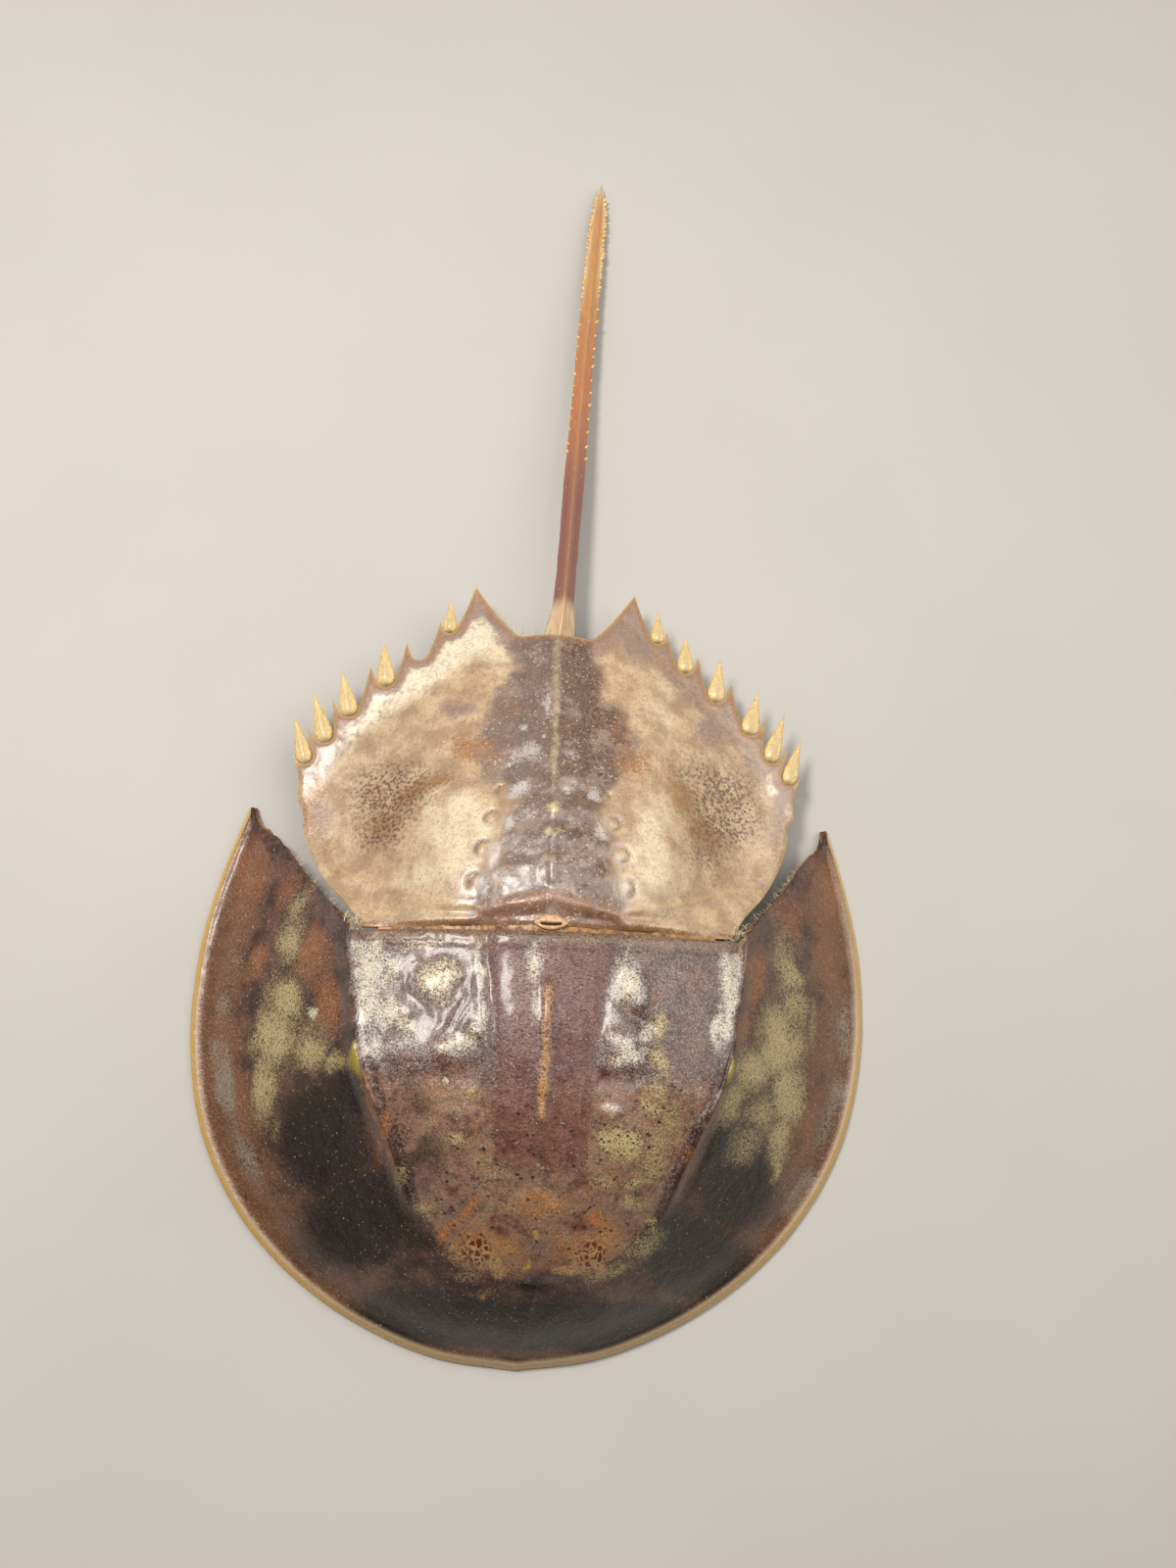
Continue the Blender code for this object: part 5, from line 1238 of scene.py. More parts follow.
def build_bristles(sizes, material):
    """Bristles of the hind edge, torn fibres at the shield's corners, and lint on the shell."""
    random = np.random.default_rng(SEED + 5)
    hairs = []
    cheek = along(CHEEK_EDGE, np.linspace(0.1, 0.98, 60))
    for side, low, high, count in BRISTLE_ROWS:
        for _ in range(count):
            place = cheek[int(random.uniform(low, high) * 59)]
            root = np.array((side * place[0], place[1], place[2] - random.uniform(0.0, 0.8)))
            aim = np.array((-side * random.uniform(0.3, 1.0), random.uniform(0.2, 1.0),
                            random.uniform(-0.2, 0.5)))
            hairs.append(hair(root, aim, sizes.bristle_length * random.uniform(0.25, 0.7), 0.05, 0.2, random))
    for side in (-1.0, 1.0):
        for _ in range(CORNER_FIBRES):
            root = np.array((side * random.uniform(33.0, 36.6), random.uniform(-0.4, 3.6), 0.0))
            root[2] = (float(shield_crown(root[0], HINGE_Y)) - 0.9 - abs(root[1]) * 0.9
                       + random.uniform(-1.0, 0.6))
            aim = random.normal(0.0, 1.0, 3) * (1.0, 1.0, 0.5)
            hairs.append(hair(root, aim, sizes.bristle_length * random.uniform(0.3, 1.0), 0.11, 0.1, random))
    for _ in range(REAR_FIBRES):
        root = np.array((-random.uniform(4.0, 11.0), 0.0, 0.0))
        root[1] = float(value_at(REAR_EDGE, np.abs(root[0]))) - 0.3
        root[2] = float(abdomen_height(root[0], root[1])) - 0.9
        aim = np.array((random.normal(0.0, 0.22), 1.0, random.uniform(0.0, 0.5)))
        hairs.append(hair(root, aim, sizes.bristle_length * random.uniform(0.4, 1.1), 0.09, 0.05, random))
    for _ in range(LINT_HAIRS):
        x = random.uniform(-33.0, 33.0)
        root = np.array((x, random.uniform(-2.0, 0.4), float(shield_crown(x, HINGE_Y)) + 0.1))
        aim = np.array((random.normal(0.0, 1.0), random.normal(0.0, 0.5), random.uniform(0.0, 0.15)))
        hairs.append(hair(root, aim, sizes.bristle_length * random.uniform(0.15, 0.5), 0.035, 0.1, random))
    piece = join_rings("shell_bristles", hairs)
    finish_piece(piece, "membrane", material)


# ---- finishes ----

def add_node(tree, kind, values=None, output=0, **settings):
    """Add one node with its settings, set or link its sockets, and give back one output."""
    made = tree.nodes.new("ShaderNode" + kind)
    for key, value in settings.items():
        setattr(made, key, value)
    for key, value in (values or {}).items():
        if isinstance(value, bpy.types.NodeSocket):
            tree.links.new(value, made.inputs[key])
        else:
            made.inputs[key].default_value = value
    return made.outputs[output]


def new_finish(name):
    """Empty material with a Principled shader, and coordinates in millimetres."""
    material = bpy.data.materials.new(name)
    material.use_nodes = True
    tree = material.node_tree
    where = add_node(tree, "TexCoord", output="Object")
    place = add_node(tree, "Mapping", {"Vector": where, "Scale": (1000.0, 1000.0, 1000.0)})
    return material, tree, tree.nodes["Principled BSDF"], place


def rgba(colour):
    """Colour with full opacity, as a socket takes it."""
    return (*colour, 1.0)


def share_of(tree, *parts):
    """Product of fields and painted masks; a part with two limits is eased between them first."""
    total = None
    for part in parts:
        source, *limits = part if isinstance(part, tuple) else (part,)
        if isinstance(source, str):
            source = add_node(tree, "Attribute", output=2, attribute_name=source)
        if limits:
            eased = {"Value": source, "From Min": limits[0], "From Max": limits[1]}
            source = add_node(tree, "MapRange", eased, interpolation_type="SMOOTHSTEP")
        if total is None:
            total = source
        else:
            total = add_node(tree, "Math", {0: total, 1: source}, operation="MULTIPLY")
    return total


def laid(tree, colour, tint, *parts):
    """Lay a tint over a colour, as strongly as the product of these parts."""
    return add_node(tree, "Mix", {0: share_of(tree, *parts), 6: colour, 7: rgba(tint)}, 2, data_type="RGBA")


def piled(tree, *parts):
    """Sum of fields, each given after its weight, on top of a first constant."""
    total = parts[0]
    for weight, source in parts[1:]:
        total = add_node(tree, "Math", {0: source, 1: weight, 2: total}, operation="MULTIPLY_ADD")
    return total


def painted(tree, colour, fields, layers):
    """Lay the layers' tints over a colour, where masks broken up by noise pass their limits."""
    for field, name, tint, low, high, strength in layers:
        colour = laid(tree, colour, tint, strength, (share_of(tree, name, fields[field]), low, high))
    return colour


def surfaced(tree, shader, colour, height, strength, distance):
    """Join a colour and a relief of this height in metres to the shader."""
    tree.links.new(colour, shader.inputs["Base Color"])
    lift = add_node(tree, "Bump", {"Height": height, "Strength": strength, "Distance": distance})
    tree.links.new(lift, shader.inputs["Normal"])


def noise_fields(tree, place):
    """Noise of four sizes in millimetres, and three mixtures that run from about 0.3 to 1.7."""
    noises = []
    for size, detail, rough in ((5.0, 4.0, 0.6), (1.9, 4.0, 0.65), (0.8, 4.0, 0.7), (0.3, 3.0, 0.7)):
        values = {"Vector": place, "Scale": 1.0 / size, "Detail": detail, "Roughness": rough}
        noises.append(add_node(tree, "TexNoise", values))
    big, middle, small, fine = noises
    fields = {"coarse": piled(tree, -0.8, (1.4, small), (2.2, big)),
              "sharp": piled(tree, -1.0, (2.0, fine), (2.0, middle)),
              "grainy": piled(tree, -1.7, (3.0, fine), (2.4, small))}
    return big, middle, small, fine, fields


def dark_shell_finish(colours):
    """Dried chitin shell, purple-brown and glossy: blotched colour, pores, settled dust and painted
    highlights.
    """
    material, tree, shader, place = new_finish("dried chitin shell, dark and glossy")
    big, middle, small, fine, fields = noise_fields(tree, place)
    colour = laid(tree, rgba(colours.shell_dark), colours.shell_brown, (big, 0.36, 0.64))
    colour = painted(tree, colour, fields, (
        ("coarse", "band", colours.rim_band, 0.3, 0.95, 0.85),
        ("grainy", "band", colours.rust_light, 0.9, 1.4, 0.4),
        ("grainy", "streak", colours.grey_dust, 0.55, 1.1, 0.7),
        ("grainy", "rust", colours.rust, 0.25, 0.85, 0.9),
        ("sharp", "rust", colours.rust_light, 0.6, 1.25, 0.65),
        ("coarse", "slate", colours.slate, 0.2, 0.8, 0.9),
        ("grainy", "slate", colours.slate, 0.3, 0.7, 0.7),
        ("coarse", "leather", colours.leather, 0.2, 0.95, 0.85),
        ("sharp", "leather", colours.shell_dark, 0.88, 1.15, 0.7),
        ("coarse", "leather", colours.khaki, 1.05, 1.3, 0.5),
        ("grainy", "leather", colours.rust_light, 1.0, 1.4, 0.5),
        ("grainy", "crown", colours.mauve, 0.8, 1.35, 0.6),
        ("coarse", "slate", colours.slate, 0.35, 0.95, 0.7),
        ("coarse", "lobe", colours.lobe_brown, 0.3, 1.0, 0.75),
        ("sharp", "lobe", colours.maroon, 0.9, 1.3, 0.5),
        ("sharp", "stain", colours.stain, 0.45, 1.15, 0.75),
        ("sharp", "maroon", colours.maroon, 0.4, 0.95, 0.9),
        ("sharp", "orange", colours.orange_growth, 0.45, 1.0, 0.85),
        ("sharp", "tan", colours.tan_patch, 0.3, 0.85, 0.92),
        ("grainy", "khaki", colours.khaki, 0.3, 0.75, 0.75),
        ("grainy", "khaki", colours.khaki_light, 0.5, 1.1, 0.75),
        ("grainy", "keel", colours.tan_patch, 0.25, 1.0, 0.8),
        ("sharp", "keel", colours.orange_growth, 0.75, 1.2, 0.6),
        # Cream growth, partly a painted highlight on the plates and along the furrows
        ("grainy", "pale", colours.cream_growth_and_highlight, 0.4, 1.15, 0.85),
        # Whitish bloom with painted highlights on the plates, knobs and ridges
        ("sharp", "bloom_and_highlight", colours.bloom_and_highlight, 0.4, 1.3, 0.75),
        ("grainy", "bloom_and_highlight", colours.cream_growth_and_highlight, 0.75, 1.4, 0.6),
        ("sharp", "yellow", colours.yellow_speck, 0.5, 0.95, 0.7),
        ("sharp", "strip", colours.strip_brown, 0.4, 1.1, 0.8)))
    colour = laid(tree, colour, colours.slate, 0.5, (small, 0.5, 0.7))
    colour = laid(tree, colour, colours.pore, 0.5, (fine, 0.5, 0.36))
    # Pores are about 0.5 mm apart on the shell, drawn at 0.9 mm so that they show
    near, far, grit = [add_node(tree, "TexVoronoi", {"Vector": place, "Scale": 1.0 / size})
                       for size in (0.9, 1.45, 1.1)]
    porous = share_of(tree, "crown", ("khaki", 0.45, 0.85), (near, 0.34, 0.16))
    pitted = share_of(tree, "leather", (far, 0.32, 0.1), (middle, 0.42, 0.6))
    porous = add_node(tree, "Math", {0: porous, 1: pitted}, operation="MAXIMUM")
    colour = laid(tree, colour, colours.pore, porous)
    # The cells of the two brow patches are about 1.2 mm wide, twice as long as they are wide
    warp = add_node(tree, "Mapping", {"Vector": place, "Scale": (1.15, 0.7, 0.7)})
    cell = add_node(tree, "TexVoronoi", {"Vector": warp, "Scale": 0.86}, feature="DISTANCE_TO_EDGE")
    chambers = share_of(tree, "cells", (cell, 0.09, 0.18))
    colour = laid(tree, colour, colours.chamber, chambers)
    warp = add_node(tree, "Mapping", {"Vector": place, "Scale": (0.45, 1.9, 1.0)})
    dash = add_node(tree, "TexNoise", {"Vector": warp, "Scale": 2.9, "Detail": 2.0, "Roughness": 0.6})
    dashed = share_of(tree, "lobe", (dash, 0.57, 0.65), 0.85)
    colour = laid(tree, colour, colours.pore, dashed)
    # Dust lies in grains of about 0.2 mm, thicker in some places than in others
    grains = share_of(tree, 0.7, (grit, 0.17, 0.06), (middle, 0.38, 0.58))
    clear = piled(tree, 1.0, (-0.7, share_of(tree, "slate")))
    haze = share_of(tree, 0.5, (fine, 0.54, 0.74), (big, 0.3, 0.62), clear)
    dust = add_node(tree, "Math", {0: grains, 1: haze}, operation="MAXIMUM")
    colour = laid(tree, colour, colours.dust, dust)
    # The rim bead's tint is partly a painted highlight along the front of the rim
    for tint, name, strength in ((colours.eye, "eye", 1.0), (colours.rim_bead, "bead", 0.75),
                                 (colours.rim_edge, "rim", 1.0), (colours.underside, "under", 1.0)):
        colour = laid(tree, colour, tint, strength, name)
    relief = piled(tree, 0.0, (1.0, small), (1.6, middle), (0.6, fine),
                   (-0.7, porous), (-0.8, chambers), (-0.5, dashed))
    surfaced(tree, shader, colour, relief, 0.7, 0.00016)
    tree.links.new(piled(tree, 0.04, (0.45, middle), (0.4, dust)), shader.inputs["Roughness"])
    shader.inputs["Specular IOR Level"].default_value = 0.42
    shader.inputs["Coat Weight"].default_value = 0.22
    shader.inputs["Coat Roughness"].default_value = 0.16
    return material


def pale_shell_finish(colours):
    """Dried chitin shell, thin and pale over the lobes and dark along the middle, with painted highlights."""
    material, tree, shader, place = new_finish("dried chitin shell, pale and translucent")
    big, middle, small, fine, fields = noise_fields(tree, place)
    coarse = fields["coarse"]
    colour = laid(tree, rgba(colours.lobe_tan), colours.lobe_beige, (big, 0.36, 0.64))
    colour = painted(tree, colour, fields, (
        ("coarse", "pale", colours.lobe_pale, 0.25, 1.0, 0.9),
        ("coarse", "brown", colours.lobe_brown_tint, 0.25, 1.0, 0.85),
        ("coarse", "grey", colours.lobe_grey, 0.3, 1.05, 0.8),
        ("coarse", "tooth", colours.tooth_tan, 0.3, 1.1, 0.7),
        # Painted highlight: the cream-white band inside the teeth
        ("sharp", "highlight_band", colours.lobe_highlight, 0.25, 1.1, 0.8),
        ("grainy", "orange", colours.lobe_orange, 0.3, 1.2, 0.85)))
    axis = share_of(tree, (share_of(tree, "axis", coarse), 0.1, 0.85))
    # The middle's left half is greyer, partly a painted sheen
    stain = laid(tree, rgba(colours.axis_grey_and_sheen), colours.axis_brown, "right")
    stain = laid(tree, stain, colours.maroon, 0.5, (middle, 0.48, 0.66))
    stain = laid(tree, stain, colours.axis_dust, 0.6, (coarse, 0.95, 1.35))
    stain = laid(tree, stain, colours.shell_dark, 0.65, (small, 0.5, 0.68))
    stain = painted(tree, stain, fields, (("sharp", "orange", colours.lobe_orange, 0.5, 1.2, 0.7),))
    colour = add_node(tree, "Mix", {0: share_of(tree, 0.94, axis), 6: colour, 7: stain}, 2, data_type="RGBA")
    colour = painted(tree, colour, fields, (
        # Painted highlights around the pits, with whitish chips on the middle
        ("grainy", "glow", colours.bloom_and_highlight, 0.4, 1.0, 0.8),
        ("sharp", "keel", colours.keel_pale, 0.45, 1.3, 0.65),
        ("sharp", "nodes", colours.node_yellow, 0.4, 1.0, 0.85),
        ("sharp", "arch", colours.arch_brown, 0.4, 1.1, 0.7),
        ("sharp", "front", colours.front_rust, 0.4, 1.0, 0.8),
        ("sharp", "rear", colours.lobe_orange, 0.4, 1.1, 0.7),
        ("sharp", "line", colours.line_yellow, 0.5, 1.0, 0.5)))
    # The brown freckles are about 0.5 mm wide and 1 mm apart, and run into each other in places
    warp = add_node(tree, "Mapping", {"Vector": place, "Scale": (1.0, 1.25, 1.0)})
    spots, grit = [add_node(tree, "TexVoronoi", {"Vector": warp, "Scale": 1.0 / size})
                   for size in (1.05, 0.95)]
    blots = add_node(tree, "TexNoise", {"Vector": warp, "Scale": 1.25, "Detail": 3.0, "Roughness": 0.6})
    clear = piled(tree, 1.0, (-1.0, axis))
    freckles = share_of(tree, (spots, 0.5, 0.26), (middle, 0.34, 0.5), ("dots", 0.2, 0.85), clear)
    blotted = share_of(tree, (blots, 0.51, 0.59), ("dots", 0.35, 0.9), clear)
    freckles = add_node(tree, "Math", {0: freckles, 1: blotted}, operation="MAXIMUM")
    colour = laid(tree, colour, colours.freckle, 0.85, freckles)
    colour = laid(tree, colour, colours.freckle, 0.6, (fine, 0.52, 0.68))
    colour = laid(tree, colour, colours.lobe_grey, 0.55, (small, 0.48, 0.68))
    grains = share_of(tree, (grit, 0.3, 0.12), (middle, 0.4, 0.56), piled(tree, 0.15, (0.75, axis)))
    haze = share_of(tree, axis, 0.35, (fine, 0.48, 0.68))
    dust = add_node(tree, "Math", {0: grains, 1: haze}, operation="MAXIMUM")
    colour = laid(tree, colour, colours.dust, dust)
    for tint, name, strength in ((colours.shell_dark, "pits", 0.75), (colours.tooth_edge, "edge", 0.9),
                                 (colours.underside, "under", 0.8)):
        colour = laid(tree, colour, tint, strength, name)
    relief = piled(tree, 0.0, (1.0, small), (1.4, middle), (0.5, fine), (-0.4, freckles))
    surfaced(tree, shader, colour, relief, 0.65, 0.00014)
    tree.links.new(piled(tree, 0.08, (0.45, middle)), shader.inputs["Roughness"])
    shader.inputs["Specular IOR Level"].default_value = 0.6
    shader.inputs["Coat Weight"].default_value = 0.3
    shader.inputs["Coat Roughness"].default_value = 0.22
    return material


def knob_finish(colours):
    """Dried tissue of the hinge knob: cream, with a dark slit."""
    material, tree, shader, place = new_finish("dried hinge tissue, cream")
    folds = add_node(tree, "TexNoise", {"Vector": place, "Scale": 1.4, "Detail": 4.0, "Roughness": 0.65})
    colour = laid(tree, rgba(colours.knob), colours.amber, (folds, 0.4, 0.7))
    colour = laid(tree, colour, colours.pore, ("slit", 0.35, 0.75))
    surfaced(tree, shader, colour, folds, 0.5, 0.00015)
    shader.inputs["Roughness"].default_value = 0.4
    return material


def tail_finish(colours):
    """Solid horn-like chitin: tan collar, dark foot, red-brown shaft and a tan point."""
    material, tree, shader, place = new_finish("horny chitin, red-brown tail")
    # Shares of the tail's length, and the tint that it has there
    tints = ((0.035, colours.collar_tan), (0.1, colours.collar_tan), (0.13, colours.tail_foot),
             (0.3, colours.tail_foot), (0.52, colours.tail_shaft), (0.78, colours.tail_light),
             (0.93, colours.tail_light), (1.0, colours.tail_point))
    colour = rgba(tints[0][1])
    for (start, _), (end, tint) in zip(tints, tints[1:]):
        colour = laid(tree, colour, tint, ("tail", start, end))
    warp = add_node(tree, "Mapping", {"Vector": place, "Scale": (1.0, 0.12, 1.0)})
    streaks = add_node(tree, "TexNoise", {"Vector": warp, "Scale": 2.0, "Detail": 3.0, "Roughness": 0.6})
    cloud = add_node(tree, "TexNoise", {"Vector": place, "Scale": 0.4, "Detail": 3.0})
    grit = add_node(tree, "TexVoronoi", {"Vector": place, "Scale": 0.67})
    colour = laid(tree, colour, colours.tail_foot, 0.4, (streaks, 0.4, 0.7))
    colour = laid(tree, colour, colours.tail_light, 0.35, "keel")
    colour = laid(tree, colour, colours.bristle, 0.8, "brow", ("tail", 0.68, 0.82), (streaks, 0.36, 0.5))
    colour = laid(tree, colour, colours.bristle, 0.55, ("tail", 0.93, 0.98), (streaks, 0.4, 0.6))
    colour = laid(tree, colour, colours.dust, (grit, 0.2, 0.08), (cloud, 0.45, 0.6))
    surfaced(tree, shader, colour, streaks, 0.4, 0.0001)
    tree.links.new(piled(tree, 0.2, (0.3, cloud)), shader.inputs["Roughness"])
    shader.inputs["Coat Weight"].default_value = 0.2
    shader.inputs["Coat Roughness"].default_value = 0.25
    return material


def spine_finish(colours):
    """Solid pale horn: cream at the edges, greyer in the middle near the socket."""
    material, tree, shader, place = new_finish("pale horn, movable spines")
    streaks = add_node(tree, "TexNoise", {"Vector": place, "Scale": 1.7, "Detail": 3.0})
    colour = laid(tree, rgba(colours.spine_cream), colours.spine_ochre, (streaks, 0.35, 0.7))
    colour = laid(tree, colour, colours.spine_grey, 0.75, "middle", ("far", 0.85, 0.3))
    surfaced(tree, shader, colour, streaks, 0.3, 0.0001)
    shader.inputs["Roughness"].default_value = 0.36
    shader.inputs["Subsurface Weight"].default_value = 0.15
    shader.inputs["Subsurface Radius"].default_value = (0.0012, 0.0008, 0.0004)
    shader.inputs["Subsurface Scale"].default_value = 1.0
    return material


def soft_finish(name, light, dark, size, roughness):
    """Dried membrane or fibre in two shades, with wrinkles of this size."""
    material, tree, shader, place = new_finish(name)
    values = {"Vector": place, "Scale": 1.0 / size, "Detail": 4.0, "Roughness": 0.65}
    folds = add_node(tree, "TexNoise", values)
    colour = laid(tree, rgba(light), dark, (folds, 0.38, 0.66))
    surfaced(tree, shader, colour, folds, 0.5, 0.0002)
    shader.inputs["Roughness"].default_value = roughness
    return material


# ---- settings ----

def length_setting(name, description, default):
    """A length in millimetres that a user may change."""
    return bpy.props.FloatProperty(name=name, description=description + ", in millimetres",
                                   default=default, min=0.0, max=20.0)


def colour_setting(name, description, code):
    """A colour that a user may change, with its default as an sRGB hex value."""
    return bpy.props.FloatVectorProperty(name=name, description=description, default=linear(code), size=3,
                                         min=0.0, max=1.0, subtype="COLOR")


class ShellSizes(bpy.types.PropertyGroup):
    """Sizes of the shell's small relief, in millimetres."""
    furrow_depth: length_setting("Furrow depth", "Depth of the two long furrows of the head shield", 1.0)
    keel_height: length_setting("Keel height", "Height of the head shield's middle keel", 0.6)
    rim_bead: length_setting("Rim bead", "Height of the bead inside the head shield's rim", 0.42)
    bead_height: length_setting("Hinge bead", "Height of the bead on the abdomen's front edge", 0.6)
    pit_depth: length_setting("Pit depth", "Depth of the muscle pits", 0.5)
    thorn_length: length_setting("Thorn length", "Length of the small thorns on the tail", 0.95)
    bristle_length: length_setting("Bristle length", "Length of the longest bristles", 2.4)


class ShellColours(bpy.types.PropertyGroup):
    """Colours of the shell's finishes."""
    shell_dark: colour_setting("Shell, dark", "Darker shade of the head shield", "#33221d")
    shell_brown: colour_setting("Shell, brown", "Lighter shade of the head shield", "#5a3d31")
    lobe_brown: colour_setting("Middle lobe", "Shade of the middle lobe", "#69453b")
    leather: colour_setting("Leather", "Red-brown ground in front of the eyes", "#8f6a52")
    stain: colour_setting("Stain", "Orange-brown stain of the brow", "#a9753d")
    slate: colour_setting("Slate", "Blackish fields", "#19110d")
    rust: colour_setting("Rust", "Rust-brown cheeks", "#7a4e31")
    rust_light: colour_setting("Light rust", "Lighter rust-brown flecks", "#8f5f3a")
    maroon: colour_setting("Maroon", "Dark red areas and furrows", "#50231c")
    mauve: colour_setting("Mauve", "Grey-purple cast of the crown", "#84716b")
    # Whitish bloom, with painted highlights on the head shield's plates and ridges and around the abdomen's
    # pits
    bloom_and_highlight: colour_setting("Bloom", "Whitish bloom on the plates and ridges", "#c3bdba")
    khaki: colour_setting("Khaki", "Dried growth", "#8b7a55")
    khaki_light: colour_setting("Light khaki", "Lightest dried growth", "#b3a274")
    # Cream growth on the plates, partly a painted highlight there and along the furrows
    cream_growth_and_highlight: colour_setting("Cream", "Cream-coloured growth on the plates", "#d2c8a4")
    orange_growth: colour_setting("Orange", "Orange-tan keel and arcs", "#a36a38")
    tan_patch: colour_setting("Tan", "Tan ground of the celled patches", "#a98455")
    yellow_speck: colour_setting("Yellow", "Small yellow specks", "#ae9440")
    chamber: colour_setting("Cells", "Dark red-brown cells", "#571f0e")
    pore: colour_setting("Pores", "Dark pores and dashes", "#27140e")
    strip_brown: colour_setting("Hinge strip", "Dusty strip along the hinge", "#75604a")
    dust: colour_setting("Dust", "Settled dust and scale", "#b4a893")
    grey_dust: colour_setting("Grey dust", "Grey streaks along the rim", "#8d8274")
    eye: colour_setting("Eyes", "Side eyes", "#8e7a1c")
    rim_band: colour_setting("Rim band", "Speckled band inside the rim", "#664732")
    # Tan of the bead inside the rim, lightened as a painted highlight
    rim_bead: colour_setting("Rim bead", "Bead inside the rim", "#b09a7c")
    rim_edge: colour_setting("Rim edge", "Ochre outer edge of the rim", "#c09431")
    underside: colour_setting("Underside", "Inner side of the shell", "#7a5a3c")
    lobe_tan: colour_setting("Lobe, tan", "Darker shade of the abdomen's lobes", "#9b8265")
    lobe_beige: colour_setting("Lobe, beige", "Lighter shade of the abdomen's lobes", "#bba483")
    lobe_pale: colour_setting("Lobe, pale", "Palest parts of the abdomen's lobes", "#cdbfa0")
    # Painted highlight of the band inside the teeth
    lobe_highlight: colour_setting("Lobe, cream", "Cream band inside the teeth", "#e6dcc2")
    lobe_grey: colour_setting("Lobe, grey", "Purple-grey margins", "#7d6a65")
    lobe_brown_tint: colour_setting("Lobe, brown", "Brown ground of the freckles", "#865f33")
    lobe_orange: colour_setting("Lobe, orange", "Orange patches beside the middle", "#8c5a24")
    tooth_tan: colour_setting("Teeth", "Orange-tan of the fixed teeth", "#8f6c56")
    axis_brown: colour_setting("Middle, brown", "Dark middle of the abdomen", "#4a322c")
    # Greyer left half of the middle, partly a painted sheen
    axis_grey_and_sheen: colour_setting("Middle, grey", "Greyer left half of the middle", "#63524e")
    axis_dust: colour_setting("Middle, dusty", "Dusty parts of the abdomen's middle", "#978578")
    keel_pale: colour_setting("Keel, pale", "Pale keel of the abdomen", "#b3a27c")
    node_yellow: colour_setting("Keel nodes", "Yellow knots of the keel", "#cdbb80")
    arch_brown: colour_setting("Arch", "Brown arch behind the hinge", "#8d5f3c")
    front_rust: colour_setting("Hinge rust", "Rust-brown front edge under the arch", "#6e3f27")
    line_yellow: colour_setting("Fine lines", "Fine raised lines at the front corners", "#b89c60")
    freckle: colour_setting("Freckles", "Brown freckles", "#493320")
    tooth_edge: colour_setting("Tooth edges", "Thin edges of the teeth", "#aa874a")
    collar_tan: colour_setting("Tail collar", "Tan collar of the tail", "#c8ae88")
    tail_foot: colour_setting("Tail foot", "Dark lower part of the tail", "#7e4a3f")
    tail_shaft: colour_setting("Tail shaft", "Middle of the tail", "#b26f3f")
    tail_light: colour_setting("Tail, light", "Upper part of the tail", "#bd8648")
    tail_point: colour_setting("Tail point", "Point of the tail", "#c0945a")
    spine_cream: colour_setting("Spine, cream", "Light shade of the movable spines", "#d3ba80")
    spine_ochre: colour_setting("Spine, ochre", "Darker shade of the movable spines", "#b8995c")
    spine_grey: colour_setting("Spine, grey", "Grey middle of the movable spines", "#a29270")
    amber: colour_setting("Amber", "Hinge membrane", "#96682a")
    amber_dark: colour_setting("Dark amber", "Creases of the hinge membrane", "#47260f")
    knob: colour_setting("Knob", "Pale knob in the middle of the hinge", "#c0a07a")
    bristle: colour_setting("Bristle", "Dried bristles and fibres", "#d6caa8")
    bristle_dark: colour_setting("Dark bristle", "Darker bristles", "#a08a66")
    floor: colour_setting("Floor", "Plain floor", "#a9a7a2")


# ---- operators ----

class SHELL_OT_head_shield(bpy.types.Operator):
    """Build the head shield with its ridges, swirl, knobs, eyes and rim bead"""
    bl_idname = "shell.head_shield"
    bl_label = "Head Shield"

    def execute(self, context):
        build_head_shield(context.scene.shell_sizes, dark_shell_finish(context.scene.shell_colours))
        return {"FINISHED"}


class SHELL_OT_abdomen(bpy.types.Operator):
    """Build the abdomen shield with its teeth, sockets, pits and keel"""
    bl_idname = "shell.abdomen"
    bl_label = "Abdomen Shield"

    def execute(self, context):
        build_abdomen(context.scene.shell_sizes, pale_shell_finish(context.scene.shell_colours))
        return {"FINISHED"}


class SHELL_OT_spines(bpy.types.Operator):
    """Build the eleven movable side spines"""
    bl_idname = "shell.spines"
    bl_label = "Side Spines"

    def execute(self, context):
        build_spines(spine_finish(context.scene.shell_colours))
        return {"FINISHED"}


class SHELL_OT_tail(bpy.types.Operator):
    """Build the tail spine and its rows of thorns"""
    bl_idname = "shell.tail"
    bl_label = "Tail Spine"

    def execute(self, context):
        colours = context.scene.shell_colours
        thorns = soft_finish("pale horn, tail thorns", colours.spine_cream, colours.tail_light, 0.8, 0.45)
        build_tail(context.scene.shell_sizes, tail_finish(colours), thorns)
        return {"FINISHED"}


class SHELL_OT_hinge(bpy.types.Operator):
    """Build the hinge membrane and the pale knob in its middle"""
    bl_idname = "shell.hinge"
    bl_label = "Hinge"

    def execute(self, context):
        colours = context.scene.shell_colours
        amber = soft_finish("dried hinge membrane, amber", colours.amber, colours.amber_dark, 1.6, 0.4)
        build_hinge(amber, knob_finish(colours))
        return {"FINISHED"}


class SHELL_OT_bristles(bpy.types.Operator):
    """Build the bristles, torn fibres and lint"""
    bl_idname = "shell.bristles"
    bl_label = "Bristles"

    def execute(self, context):
        colours = context.scene.shell_colours
        fibre = soft_finish("dried bristle, pale", colours.bristle, colours.bristle_dark, 1.2, 0.6)
        build_bristles(context.scene.shell_sizes, fibre)
        return {"FINISHED"}


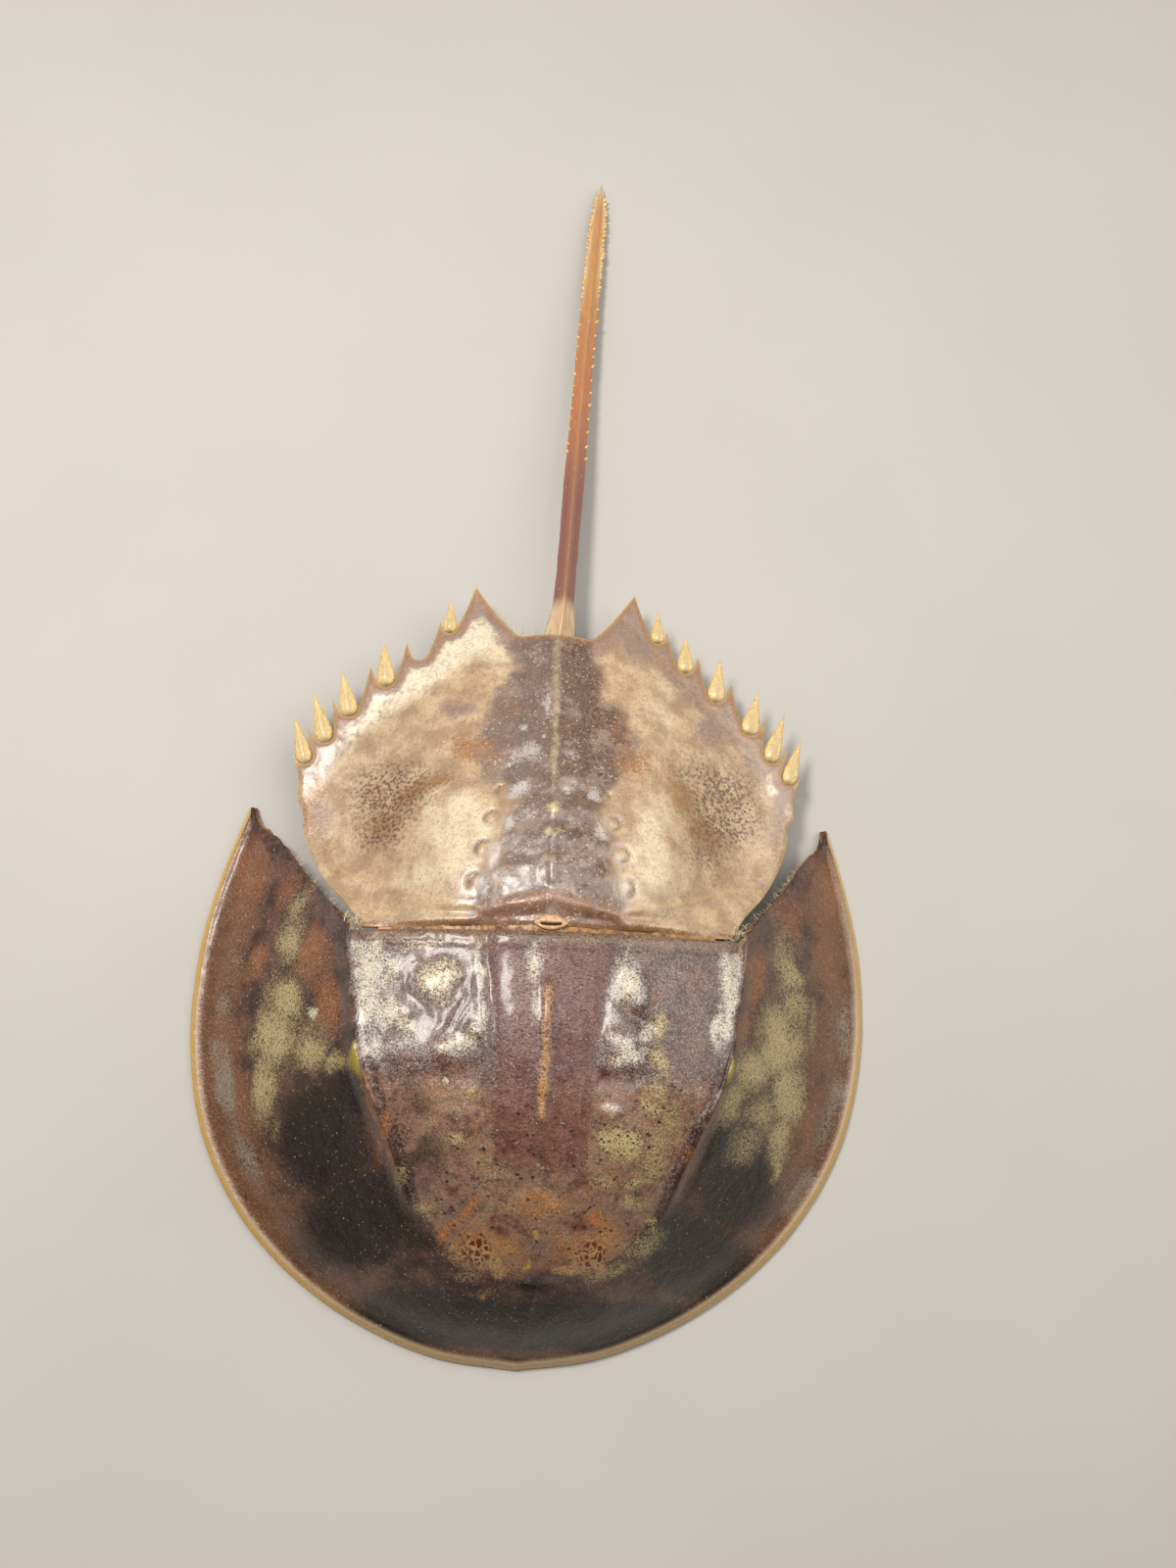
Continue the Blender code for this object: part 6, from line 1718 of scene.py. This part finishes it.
class SHELL_OT_stage(bpy.types.Operator):
    """Lay the floor, hang the lights and set the camera"""
    bl_idname = "shell.stage"
    bl_label = "Stage"

    def execute(self, context):
        deselect_all()
        bpy.ops.mesh.primitive_plane_add(size=FLOOR_SIZE)
        floor = context.object
        floor.name = "floor"
        material, tree, shader, place = new_finish("matt painted floor, pale")
        shade = add_node(tree, "TexNoise", {"Vector": place, "Scale": 1.0 / 60.0, "Detail": 3.0})
        pale = context.scene.shell_colours.floor
        colour = laid(tree, rgba(pale), [channel * 0.97 for channel in pale], (shade, 0.3, 0.7))
        tree.links.new(colour, shader.inputs["Base Color"])
        shader.inputs["Roughness"].default_value = 0.85
        floor.data.materials.append(material)
        hang_lights(context)
        set_camera(context)
        return {"FINISHED"}


def hang_lights(context):
    """Overhead light to the left behind the shell, a ceiling, a window, a weak fill and a pale sky."""
    for name, place, target, size, power, tint in LAMPS:
        data = bpy.data.lights.new(name, "AREA")
        data.shape = "DISK"
        data.size = size
        data.energy = power
        data.color = linear(tint)
        lamp = bpy.data.objects.new(name, data)
        context.scene.collection.objects.link(lamp)
        lamp.location = Vector((np.array(place) + SHIFT) * MM)
        aim = Vector((np.array(target) - np.array(place)).tolist())
        lamp.rotation_euler = aim.to_track_quat("-Z", "Y").to_euler()
    world = bpy.data.worlds.new("pale room")
    context.scene.world = world
    world.use_nodes = True
    sky = world.node_tree.nodes["Background"]
    sky.inputs["Color"].default_value = rgba(linear(SKY_TINT))
    sky.inputs["Strength"].default_value = SKY_STRENGTH


def set_camera(context):
    """Camera at the photograph's own place, found from the shell's symmetry."""
    data = bpy.data.cameras.new("camera")
    data.lens = CAMERA_LENS
    data.sensor_width = SENSOR
    data.clip_start = 0.01
    data.dof.use_dof = False
    camera = bpy.data.objects.new("camera", data)
    context.scene.collection.objects.link(camera)
    place = (np.array(CAMERA_PLACE) + SHIFT) * MM
    axes = Matrix((CAMERA_RIGHT, CAMERA_UP, [-part for part in CAMERA_AHEAD])).transposed()
    camera.matrix_world = Matrix.Translation(Vector(place)) @ axes.to_4x4()
    context.scene.camera = camera


class SHELL_PT_panel(bpy.types.Panel):
    """Lists the shell's pieces, sizes and colours"""
    bl_idname = "SHELL_PT_panel"
    bl_label = "Horseshoe Crab Shell"
    bl_space_type = "VIEW_3D"
    bl_region_type = "UI"
    bl_category = "Shell"

    def draw(self, context):
        layout = self.layout
        for operator in OPERATORS:
            layout.operator(operator.bl_idname)
        for group in (context.scene.shell_sizes, context.scene.shell_colours):
            box = layout.box()
            for name in group.__annotations__:
                box.prop(group, name)


OPERATORS = (SHELL_OT_head_shield, SHELL_OT_abdomen, SHELL_OT_spines, SHELL_OT_tail, SHELL_OT_hinge,
             SHELL_OT_bristles, SHELL_OT_stage)
CLASSES = (ShellSizes, ShellColours) + OPERATORS + (SHELL_PT_panel,)


def register():
    """Register the classes and attach the settings to the scene."""
    for item in CLASSES:
        bpy.utils.register_class(item)
    bpy.types.Scene.shell_sizes = bpy.props.PointerProperty(type=ShellSizes)
    bpy.types.Scene.shell_colours = bpy.props.PointerProperty(type=ShellColours)


def unregister():
    """Take the settings and classes away again."""
    del bpy.types.Scene.shell_colours
    del bpy.types.Scene.shell_sizes
    for item in reversed(CLASSES):
        bpy.utils.unregister_class(item)


def main():
    """Build every piece and the stage."""
    register()
    for operator in OPERATORS:
        getattr(bpy.ops.shell, operator.bl_idname.split(".")[1])()
    bpy.context.scene.view_settings.view_transform = "Standard"


if __name__ == "__main__":
    main()
